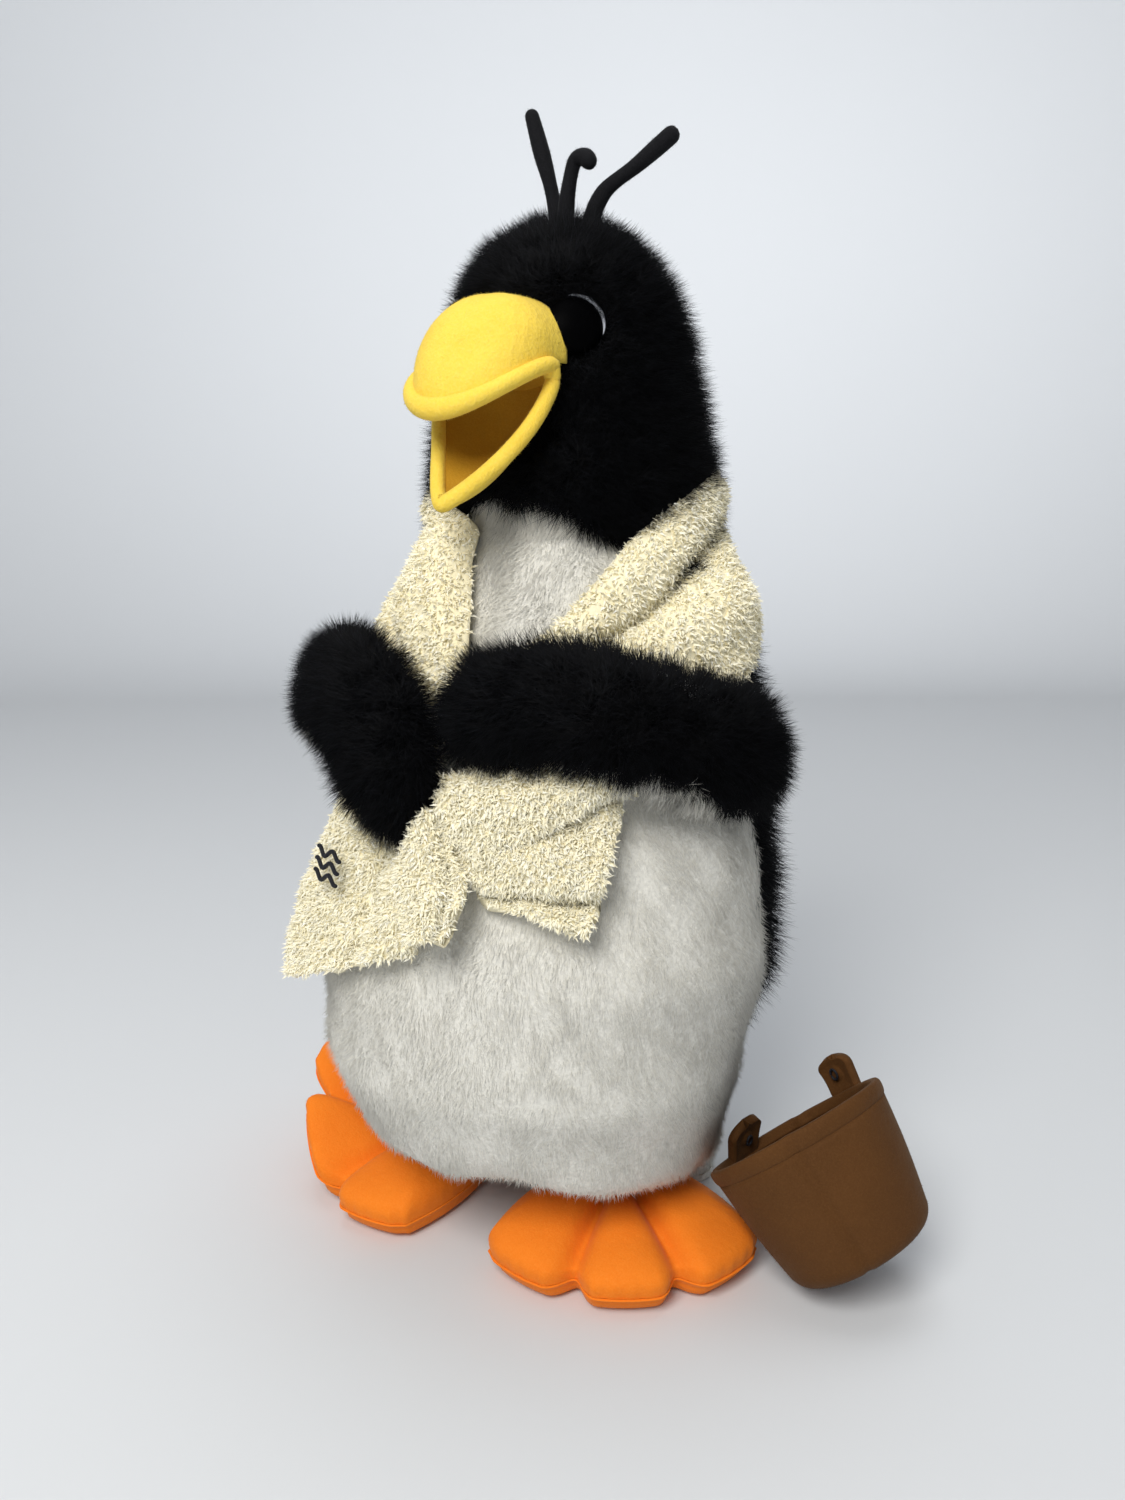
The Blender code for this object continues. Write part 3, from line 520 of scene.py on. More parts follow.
class Patch:
    """A surface known by its points on a grid: rows run along it and columns run across or round it."""

    def __init__(self, points: Array, wrap: bool = False, centre: Array | None = None) -> None:
        """Works out the outward directions.

        Args:
            points: rows x columns x 3.
            wrap: whether the last column joins the first.
            centre: a point, or one for each row, that the outside faces away from.
        """
        self.points = np.asarray(points, float)
        self.wrap = wrap
        self.ring = np.concatenate([self.points, self.points[:, :1]], axis=1) if wrap else self.points
        across = np.gradient(self.ring, axis=1)
        if wrap:
            across[:, 0] = across[:, -1] = (self.ring[:, 1] - self.ring[:, -2]) / 2
        normals = unit(np.cross(across, np.gradient(self.ring, axis=0)))
        middle = self.ring.mean(axis=1, keepdims=True) if centre is None else centre
        self.turned = float((normals * (self.ring - middle)).sum()) < 0
        self.normals = -normals if self.turned else normals

    def build(self, name: str, ends: tuple[bool, bool] = (False, False)) -> bpy.types.Object:
        """Makes the mesh, each grid cell a four-sided face.

        Args:
            name: the piece's name.
            ends: whether the first and the last row are closed with a fan about their middle.

        Returns:
            The object.
        """
        rows, columns = self.points.shape[:2]
        number = np.arange(rows * columns).reshape(rows, columns)
        ring = np.concatenate([number, number[:, :1]], axis=1) if self.wrap else number
        a, b, c, d = ring[:-1, :-1], ring[:-1, 1:], ring[1:, 1:], ring[1:, :-1]
        order = (a, b, c, d) if not self.turned else (a, d, c, b)
        corners = np.stack(order, axis=-1).reshape(-1)
        v, u = np.meshgrid(np.linspace(0, 1, rows), np.linspace(0, 1, ring.shape[1]), indexing="ij")
        place = np.stack([u, v], axis=-1)
        spots = (place[:-1, :-1], place[:-1, 1:], place[1:, 1:], place[1:, :-1])
        spots = spots if not self.turned else (spots[0], spots[3], spots[2], spots[1])
        uvs = np.stack(spots, axis=2).reshape(-1, 2)
        sizes = np.full(a.size, 4)
        points = self.points.reshape(-1, 3)
        for closed, row, first in ((ends[0], 0, True), (ends[1], rows - 1, False)):
            if not closed:
                continue
            hub = len(points)
            points = np.concatenate([points, self.points[row].mean(axis=0, keepdims=True)])
            one, two = ring[row, :-1], ring[row, 1:]
            fan = (two, one) if first != self.turned else (one, two)
            corners = np.concatenate([corners, np.stack([*fan, np.full_like(one, hub)], axis=-1).ravel()])
            edge = np.stack([place[row, :-1], place[row, 1:], place[row, :-1]], axis=1).reshape(-1, 2)
            uvs = np.concatenate([uvs, edge])
            sizes = np.concatenate([sizes, np.full(len(one), 3)])
        return new_object(name, mesh_of(name, points, corners, sizes, uvs))

    def scatter(self, count: int, rng: np.random.Generator, weight: Array | None = None) -> Roots:
        """Roots spread by area: a cell is picked by its area times its weight, and a place in it at random.

        Args:
            count: how many.
            rng: the source of places.
            weight: one number for each cell, rows - 1 by the cells in a row.

        Returns:
            The roots.
        """
        g = self.ring
        area = np.linalg.norm(np.cross(g[1:, 1:] - g[:-1, :-1], g[1:, :-1] - g[:-1, 1:]), axis=-1)
        if weight is not None:
            area = area * weight
        pick = rng.choice(area.size, count, p=(area / area.sum()).ravel())
        row, column = np.unravel_index(pick, area.shape)
        s, t = rng.random((2, count))
        shares = ((1 - s) * (1 - t), (1 - s) * t, s * (1 - t), s * t)
        corners = ((row, column), (row, column + 1), (row + 1, column), (row + 1, column + 1))
        points = sum(w[:, None] * g[i, j] for w, (i, j) in zip(shares, corners))
        normals = unit(sum(w[:, None] * self.normals[i, j] for w, (i, j) in zip(shares, corners)))
        return Roots(points, normals, (row + s) / (g.shape[0] - 1))


def middle_of(node: str) -> Array:
    """The middle of a CAD node's box."""
    low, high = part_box(node)
    return np.array(low + high) / 2


def cells(values: Array) -> Array:
    """A value for each grid cell from the values at its corners."""
    return (values[:-1, :-1] + values[:-1, 1:] + values[1:, 1:] + values[1:, :-1]) / 4


def give(obj: bpy.types.Object, name: str, values: Array) -> None:
    """Stores a number at each point of the object's mesh, padded with its last value."""
    count = len(obj.data.vertices)
    values = values.ravel()
    values = np.concatenate([values, np.full(max(count - values.size, 0), values[-1])])[:count]
    layer = obj.data.attributes.new(name, "FLOAT", "POINT")
    layer.data.foreach_set("value", values.astype(np.float32))


@dataclass(frozen=True)
class Pile:
    """How a pile stands.

    A strand is a tapered three-sided needle of one straight stretch, or of two where it is bent. lay is how
    far it leans along the comb, bend how much further its outer half does, ruffle the share of smooth
    disorder in clumps of clump_size, stray the share that each strand has for itself, spread how much their
    lengths differ, and soft how far the shading takes the direction of the cloth below in place of its own.
    A blunt strand is a loop of terry: its outer half turns any way, by that share, and its faces are flat.
    """

    length: float
    width: float
    lay: float
    bend: float = 0.0
    ruffle: float = 0.3
    stray: float = 0.2
    clump_size: float = 0.012
    spread: float = 0.25
    soft: float = 0.0
    blunt: float = 0.0


def grow(
    name: str, roots: Roots, comb: Array, pile: Pile, seed: int, scale: Array | float = 1.0
) -> bpy.types.Object:
    """Grows pile on roots.

    A strand starts a little inside the surface. Its first half runs along the outward direction leaned to the
    comb and disturbed by the clump's ripple, and the second half of a bent one leans further. Its rings are
    triangles about that line, and its tip is one point.

    Args:
        name: the piece's name.
        roots: where the strands stand.
        comb: the direction that each is brushed in.
        pile: how the pile stands.
        seed: for its random draws.
        scale: a factor for each strand's length.

    Returns:
        The piece, with each point's share along its strand and its strand's tint.
    """
    rng = np.random.default_rng(seed)
    count = len(roots.points)
    flat = unit(comb - (comb * roots.normals).sum(axis=1, keepdims=True) * roots.normals)
    noise = pile.ruffle * ripple(roots.points, pile.clump_size, rng)
    noise = noise + pile.stray * rng.normal(size=(count, 3))
    first = unit((1 - pile.lay) * roots.normals + pile.lay * flat + noise)
    over = (first * roots.normals).sum(axis=1, keepdims=True)
    first = unit(first + np.maximum(0.12 - over, 0) * roots.normals)
    length = (pile.length * scale * (1 + pile.spread * rng.uniform(-1, 1, count)))[:, None]
    base = roots.points - roots.normals * 0.0006
    side = unit(np.cross(first, rng.normal(size=(count, 3))))
    angle = np.arange(3) * 2 * math.pi / 3
    ring = np.cos(angle)[:, None] * side[:, None] + np.sin(angle)[:, None] * np.cross(first, side)[:, None]
    low = base[:, None] + ring * pile.width / 2
    if pile.bend or pile.blunt:
        curl = flat + pile.blunt * rng.normal(size=(count, 3))
        middle = base + first * length / 2
        high = middle[:, None] + ring * pile.width * 0.46
        tip = middle + unit(first + pile.bend * curl) * length / 2
        parts = [low, high, tip[:, None]]
        share = [0, 0, 0, 0.5, 0.5, 0.5, 1.0]
        pattern = np.array([0, 1, 4, 3, 1, 2, 5, 4, 2, 0, 3, 5, 3, 4, 6, 4, 5, 6, 5, 3, 6])
        kinds = [4, 4, 4, 3, 3, 3]
        inside = np.array([(u, v) for v in (0.15, 0.5) for u in (0.2, 0.5, 0.8)] + [(0.5, 0.85)])
    else:
        parts = [low, (base + first * length)[:, None]]
        share = [0, 0, 0, 1.0]
        pattern = np.array([0, 1, 3, 1, 2, 3, 2, 0, 3])
        kinds = [3, 3, 3]
        inside = np.array([(0.2, 0.15), (0.5, 0.15), (0.8, 0.15), (0.5, 0.85)])
    points = np.concatenate(parts, axis=1)
    each = points.shape[1]
    corners = (np.arange(count)[:, None] * each + pattern).ravel()
    across = max(math.ceil(math.sqrt(count)), 1)
    cell = np.stack([np.arange(count) % across, np.arange(count) // across], axis=1)
    uvs = ((cell[:, None] + inside[None]) / across)[:, pattern].reshape(-1, 2)
    obj = new_object(name, mesh_of(name, points.reshape(-1, 3), corners, np.tile(kinds, count), uvs))
    give(obj, "along", np.tile(share, count))
    give(obj, "tint", np.repeat(rng.random(count), each))
    if pile.blunt:
        obj.data.polygons.foreach_set("use_smooth", np.zeros(len(obj.data.polygons), bool))
    if pile.soft:
        middle = points.mean(axis=1, keepdims=True)
        own = unit(points - middle)
        shade = unit((1 - pile.soft) * own + pile.soft * roots.normals[:, None])
        obj.data.normals_split_custom_set_from_vertices(shade.reshape(-1, 3))
    return obj


def tube(
    name: str, path: Array, wide: Array | float, tall: Array | float, sides: int = 20
) -> bpy.types.Object:
    """A closed cord: an ellipse carried along a path, its ends rounded off as half ellipses.

    Args:
        name: the piece's name.
        path: n places.
        wide: its half size level with the ground, for each place.
        tall: its half size upright to that.
        sides: points round it.

    Returns:
        The piece.
    """
    patch = tube_patch(path, wide, tall, sides)
    return patch.build(name, ends=(True, True))


def tube_patch(path: Array, wide: Array | float, tall: Array | float, sides: int = 20) -> Patch:
    """The surface of tube, whose radii shrink as a quarter circle over the last radius at each end."""
    path = np.asarray(path, float)
    run = np.concatenate([[0], np.cumsum(np.linalg.norm(np.diff(path, axis=0), axis=1))])
    wide = np.broadcast_to(wide, len(path)).astype(float)
    tall = np.broadcast_to(tall, len(path)).astype(float)
    size = np.maximum(np.minimum(wide, tall), 1e-6)
    near = np.minimum(np.minimum(run, run[-1] - run) / size, 1.0)
    shrink = np.sqrt(np.maximum(1 - (1 - near) ** 2, 0.0)) * 0.97 + 0.03
    ahead = unit(np.gradient(path, axis=0))
    level = unit(np.cross(ahead, UP) + 1e-9)
    upright = np.cross(level, ahead)
    angle = np.linspace(0, 2 * math.pi, sides, endpoint=False)
    ring = (wide * shrink)[:, None, None] * np.cos(angle)[None, :, None] * level[:, None]
    ring = ring + (tall * shrink)[:, None, None] * np.sin(angle)[None, :, None] * upright[:, None]
    return Patch(path[:, None] + ring, wrap=True)


def thicken(obj: bpy.types.Object, thickness: float, offset: float = 1.0) -> bpy.types.Object:
    """Gives a sheet its thickness, grown to the side that its faces point to."""
    solid = obj.modifiers.new("cloth", "SOLIDIFY")
    solid.thickness = thickness
    solid.offset = offset
    return obj


def finished(obj: bpy.types.Object, finish: Finish, body: str, slot: str, *nodes: str) -> bpy.types.Object:
    """Dresses a piece, makes it ride on its body and stands it in for CAD nodes.

    Args:
        obj: the piece.
        finish: what it is made of.
        body: the body that it rides on.
        slot: the record's material slot; not used.
        nodes: the CAD nodes that it replaces.

    Returns:
        The piece.
    """
    WARDROBE.dress(obj, finish)
    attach(obj, body)
    if nodes:
        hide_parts(*nodes)
    LOG.info("%s: %d faces on %s", obj.name, len(obj.data.polygons), body)
    return obj


# ---------------------------------------------------------------- the toy's shape


FUZZ = Pile(0.0012, 0.00016, 0.35, 0.0, 0.5, 0.5, 0.012, 0.3, 0.75)


@dataclass
class Figure:
    """The toy's overall shape: rows of height, half width, reach to the front and back, and widest place."""

    neck: float = field(init=False)
    crown: float = field(init=False)
    axis_y: float = field(init=False)
    heights: Array = field(init=False)
    table: Array = field(init=False)

    def __post_init__(self) -> None:
        """Reads the seams' heights and the body's widest place from the frame and smooths the rows."""
        self.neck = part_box("head_left_panel")[0].z
        self.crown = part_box("head_left_panel")[1].z
        low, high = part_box("belly_panel")
        half = (high.x - low.x) / 2
        joints = {joint["name"]: joint for joint in frame["joints"]}
        self.axis_y = joints["neck_turn"]["pos_m"][1] - 0.004
        neck, crown = self.neck, self.crown
        wide = half / 0.094
        rows = np.array([
            (0.000, 0.052, -0.011, 0.056, 0.034),
            (0.024, 0.058, 0.004, 0.058, 0.030),
            (0.031, 0.068, 0.052, 0.056, 0.000),
            (0.045, 0.077, 0.091, 0.051, -0.021),
            (0.084, 0.087, 0.107, 0.049, -0.026),
            (0.130, 0.094, 0.105, 0.062, -0.018),
            (0.180, 0.087, 0.091, 0.063, -0.013),
            (0.225, 0.077, 0.074, 0.060, -0.006),
            (neck - 0.025, 0.064, 0.057, 0.055, 0.001),
            (neck, 0.049, 0.045, 0.053, 0.004),
            (neck + 0.017, 0.049, 0.045, 0.053, 0.004),
            (neck + 0.055, 0.043, 0.044, 0.043, 0.001),
            (crown - 0.030, 0.039, 0.040, 0.036, -0.002),
            (crown - 0.012, 0.029, 0.030, 0.025, -0.002),
            (crown - 0.003, 0.016, 0.016, 0.013, -0.001),
            (crown, 0.004, 0.004, 0.004, 0.0),
        ])
        rows[:, 1] *= wide
        self.heights = np.arange(-0.01, crown + 0.01, 0.0005)
        lines = np.stack([np.interp(self.heights, rows[:, 0], rows[:, k]) for k in range(1, 5)], axis=1)
        spread = np.arange(-24, 25)
        kernel = np.exp(-((spread / 9.0) ** 2))
        kernel /= kernel.sum()
        padded = np.pad(lines, ((24, 24), (0, 0)), mode="edge")
        self.table = np.stack([np.convolve(padded[:, k], kernel, "valid") for k in range(4)], axis=1)

    def plain(self, height: Array, turn: Array) -> Array:
        """The surface before relief: two half ellipses, front and back, that meet at the widest place."""
        half, front, back, middle = (np.interp(height, self.heights, self.table[:, k]) for k in range(4))
        angle = np.radians(turn)
        reach = np.where(np.cos(angle) > 0, middle + front, back - middle)
        y = self.axis_y + middle - reach * np.cos(angle)
        return np.stack([half * np.sin(angle), y, height + 0 * turn], axis=-1)

    def relief(self, height: Array, turn: Array) -> Array:
        """How far the cloth is pressed in or out: the soft dent down the bib between two full sides of the
        chest, the crease where the belly turns under, and slow lumps of the filling."""
        dent = -0.0055 * bump_at(turn, 0.0, 9.0) * bump_at(height, self.neck - 0.022, 0.026)
        chest = 0.0025 * bump_at(np.abs(turn), 32.0, 16.0) * bump_at(height, self.neck - 0.03, 0.03)
        lumps = 0.0011 * np.sin(height * 95 + 1.0) * np.sin(np.radians(turn) * 3 + height * 40)
        lobes = -0.0085 * bump_at(turn, 23.5, 13.0) * bump_at(height, 0.031, 0.020)
        return dent + chest + lobes + lumps * bell_edge(self.neck - height, 0.0, 0.03)

    def at(self, height: Array, turn: Array, out: Array | float = 0.0) -> Array:
        """A place on the toy, moved out along the surface's normal, which comes from small steps each way.

        Args:
            height: above the ground, any shape.
            turn: in degrees, the same shape.
            out: distance off the surface.

        Returns:
            Places, with x, y, z as the last axis.
        """
        height, turn = np.broadcast_arrays(np.asarray(height, float), np.asarray(turn, float))
        place = self.plain(height, turn)
        round_it = self.plain(height, turn + 1.5) - self.plain(height, turn - 1.5)
        up_it = self.plain(height + 0.002, turn) - self.plain(height - 0.002, turn)
        normal = unit(np.cross(round_it, up_it))
        return place + normal * (self.relief(height, turn) + out)[..., None]

    def eye_seat(self, side: int) -> tuple[Array, Array, Array, Array]:
        """Where an eye sits and its own directions: to the toy's left or back, upright and outwards."""
        word = "left" if side > 0 else "right"
        middle, inner = (middle_of(f"{word}_eye_{part}") for part in ("white", "washer"))
        out = unit(middle - inner)
        across = unit(np.cross(UP, out))
        upright = np.cross(out, across)
        return middle - 0.0038 * out - side * 0.0030 * across - 0.0038 * upright, across, upright, out

    def seam(self, height: Array) -> Array:
        """The turn of the side seam between the belly and the back, which closes to the tail lower down."""
        return np.interp(height, [0.055, 0.080, 0.130, 0.200, self.neck], [181.0, 132.0, 104.0, 92.0, 75.0])

    def whiteness(self, height: Array, turn: Array) -> Array:
        """One where the pile is white: in front of the side seams and below the arch under the chin."""
        turn = np.abs((turn + 180) % 360 - 180)
        arch = self.neck + 0.014 - 0.016 * (turn / 50) ** 2
        return ((turn < self.seam(height)) & (height < arch)).astype(float)


@dataclass
class Trunk:
    """The body: its white belly and black back, and the seat that it stands on."""

    figure: Figure
    rows: int = 150
    columns: int = 200
    white_strands: int = 3 * 42000
    black_strands: int = 46000
    short: Pile = Pile(0.0044, 0.00030, 0.62, 0.0, 0.26, 0.16, 0.022, 0.3, 0.85)
    long: Pile = Pile(0.0115, 0.00034, 0.50, 0.0, 0.34, 0.28, 0.014, 0.3)

    def grids(self) -> tuple[Array, Array]:
        """Heights and turns all round the body."""
        heights = np.linspace(0.001, self.figure.neck + 0.001, self.rows)
        turns = np.linspace(-180, 180, self.columns, endpoint=False)
        return np.meshgrid(heights, turns, indexing="ij")

    def build(self) -> None:
        """Skins first, then the pile of each colour, brushed down and a little outwards."""
        figure = self.figure
        height, turn = self.grids()
        patch = Patch(figure.at(height, turn, -0.0010), wrap=True)
        white = figure.whiteness(height, turn)
        skin = patch.build("belly_skin", ends=(True, True))
        give(skin, "white", white)
        finished(skin, Finish.SKIN, "toy_body", "white_plush", "belly_panel", "back_panel", "seat_panel")
        mask = cells(np.concatenate([white, white[:, :1]], axis=1))
        rng = np.random.default_rng(11)
        seen = 1 - 0.75 * cells(self.behind(turn))
        shares = self.white_strands // 3
        for part, word in enumerate(("low", "middle", "high")):
            band = cells(np.concatenate([self.band(height, part)] * 2, axis=1)[:, : self.columns + 1])
            roots = patch.scatter(shares, rng, np.maximum((mask > 0.5) * seen * band, 0))
            pile = grow(f"belly_pile_{word}", roots, self.brush(roots, 0.25), self.short, 21 + part)
            finished(pile, Finish.WHITE_PILE, "toy_body", "white_plush")
        roots = patch.scatter(self.black_strands, rng, (mask <= 0.5) * cells(self.above_ground(height)))
        back = grow("back_pile", roots, self.brush(roots, 0.0), self.long, 31)
        finished(back, Finish.BLACK_PILE, "toy_body", "black_plush")

    def behind(self, turn: Array) -> Array:
        """One at the back of the body."""
        wide = np.concatenate([turn, turn[:, :1]], axis=1)
        return (np.abs(wide) > 130).astype(float)

    def band(self, height: Array, part: int) -> Array:
        """One in the lower, the middle or the upper third of the belly's height."""
        low, high = self.figure.neck * np.array([part, part + 1]) / 3
        return ((height >= low) & (height < high)).astype(float)

    def above_ground(self, height: Array) -> Array:
        """One everywhere above the lowest row."""
        wide = np.concatenate([height, height[:, :1]], axis=1)
        return (wide > 0.002).astype(float)

    def brush(self, roots: Roots, sideways: float) -> Array:
        """Down, with slow drifts to either side."""
        rng = np.random.default_rng(41)
        drift = ripple(roots.points, 0.05, rng)
        return -UP + sideways * drift


@dataclass
class Head:
    """The head: black side panels with long pile, and the white tip of the bib under the chin."""

    figure: Figure
    rows: int = 90
    columns: int = 140
    strands: int = 115000
    long: Pile = Pile(0.0122, 0.00034, 0.42, 0.0, 0.34, 0.28, 0.013, 0.3)
    short: Pile = Pile(0.0044, 0.00030, 0.62, 0.0, 0.26, 0.16, 0.022, 0.3, 0.85)

    def build(self) -> None:
        """The skin, the long pile in three parts by turn, and the bib's white tip."""
        figure = self.figure
        heights = figure.neck + (figure.crown - figure.neck) * np.sin(np.linspace(0, math.pi / 2, self.rows))
        turns = np.linspace(-180, 180, self.columns, endpoint=False)
        height, turn = np.meshgrid(heights, turns, indexing="ij")
        patch = Patch(figure.at(height, turn, -0.0010), wrap=True)
        white = figure.whiteness(height, turn)
        skin = patch.build("head_skin", ends=(True, True))
        give(skin, "white", white)
        finished(skin, Finish.SKIN, "head", "black_plush", "head_left_panel", "head_right_panel")
        wide = np.concatenate([turn, turn[:, :1] + 360], axis=1)
        high = np.concatenate([height, height[:, :1]], axis=1)
        mask = cells(np.concatenate([white, white[:, :1]], axis=1)) > 0.5
        clear = cells(self.clear_of_beak(high, wide) * self.clear_of_eyes(high, wide))
        rng = np.random.default_rng(12)
        parts = {"front": (-70, 70), "left": (70, 180), "right": (-180, -70)}
        amounts = {"front": 0.5, "left": 0.3, "right": 0.2}
        for word, (low, upper) in parts.items():
            band = (cells(wide) >= low) & (cells(wide) < upper)
            roots = patch.scatter(int(self.strands * amounts[word]), rng, clear * ~mask * band)
            pile = grow(f"head_pile_{word}", roots, self.brush(roots), self.long, 51, self.lengths(roots))
            finished(pile, Finish.BLACK_PILE, "head", "black_plush")
        roots = patch.scatter(7000, rng, clear * mask)
        bib = grow("bib_tip_pile", roots, -UP + 0 * roots.points, self.short, 55)
        finished(bib, Finish.WHITE_PILE, "head", "white_plush")

    def clear_of_beak(self, height: Array, turn: Array) -> Array:
        """Zero inside the beak's footprint, an oval on the face."""
        low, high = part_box("upper_beak_skin")
        middle = low.z + 0.45 * (high.z - low.z)
        oval = (turn / 29) ** 2 + ((height - middle) / (0.46 * (high.z - low.z))) ** 2
        mouth = (turn / 30) ** 2 + ((height - (low.z - 0.004)) / 0.016) ** 2
        return ((oval > 1) & (mouth > 1)).astype(float)

    def clear_of_eyes(self, height: Array, turn: Array) -> Array:
        """Zero under each eye."""
        middle = self.figure.eye_seat(1)[0]
        places = self.figure.at(height, turn)
        near = np.linalg.norm(places * [1, 1, 1] - middle, axis=-1)
        other = np.linalg.norm(places * [-1, 1, 1] - middle, axis=-1)
        return ((near > 0.0106) & (other > 0.0106)).astype(float)

    def brush(self, roots: Roots) -> Array:
        """Down and to the back, away from the face."""
        away = np.zeros_like(roots.points)
        away[:, 1] = 0.45
        return -UP + away + 0.25 * ripple(roots.points, 0.045, np.random.default_rng(52))

    def lengths(self, roots: Roots) -> Array:
        """Shorter round the beak, the eyes and the crest's roots, longest on the cheeks."""
        middle = self.figure.eye_seat(1)[0]
        side = roots.points * [1, 1, 1]
        side[:, 0] = np.abs(side[:, 0])
        eye = np.linalg.norm(side - middle, axis=1)
        beak_low, beak_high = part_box("upper_beak_skin")
        muzzle = np.array([0, beak_high.y - 0.01, beak_low.z + 0.01])
        beak = np.linalg.norm(roots.points - muzzle, axis=1)
        rise = (roots.points[:, 2] - self.figure.neck) / (self.figure.crown - self.figure.neck)
        cheek = 1.05 - 0.35 * bell_edge(rise, 0.55, 1.0)
        by_eye = 0.50 + 0.50 * bell_edge(eye, 0.010, 0.020)
        return cheek * by_eye * (0.68 + 0.32 * bell_edge(beak, 0.026, 0.045))


@dataclass
class Eye:
    """A glossy domed button in the pile, with a pale crescent along its upper outer edge."""

    figure: Figure
    side: int
    radius: float = 0.0102
    rise: float = 0.0050

    def build(self) -> None:
        """The button is a profile of radius and height spun about the eye's own axis, and the crescent is a
        thin cord along a part of its rim that swells in its middle as a sine."""
        word = "left" if self.side > 0 else "right"
        seat, across, upright, out = self.figure.eye_seat(self.side)
        t = np.linspace(0, math.pi / 2, 14)
        dome = np.stack([self.radius * np.sin(t), 0.0012 + self.rise * np.cos(t)], axis=1)
        stem = np.array([[self.radius * 0.96, 0.0], [0.0025, -0.0002], [0.0025, -0.0085], [0.0, -0.0085]])
        button = self.spin(np.concatenate([dome, stem]), seat, across, upright, out)
        obj = button.build(f"{word}_eye_dome")
        finished(obj, Finish.BLACK_PLASTIC, "head", "black_plastic", f"{word}_eye_button")
        share = np.linspace(0, 1, 40)
        turn = np.radians(-22 + 122 * share)
        rim = (self.radius + 0.0002)
        line = np.cos(turn)[:, None] * across * self.side + np.sin(turn)[:, None] * upright
        swell = np.sin(math.pi * share) ** 0.8
        arc = tube(f"{word}_eye_crescent", seat + line * rim + out * 0.0026, 0.00008 + 0.0007 * swell,
                   0.00008 + 0.0008 * swell, 12)
        finished(arc, Finish.PALE_PLASTIC, "head", "white_plastic", f"{word}_eye_white")

    def spin(self, profile: Array, seat: Array, across: Array, upright: Array, out: Array) -> Patch:
        """A profile of radius and height carried round the axis in 48 steps."""
        angle = np.linspace(0, 2 * math.pi, 48, endpoint=False)
        ring = np.cos(angle)[:, None] * across + np.sin(angle)[:, None] * upright
        radius = np.maximum(profile[:, 0], 1e-5)
        points = seat + radius[:, None, None] * ring[None] + profile[:, 1][:, None, None] * out
        return Patch(points, wrap=True, centre=seat)


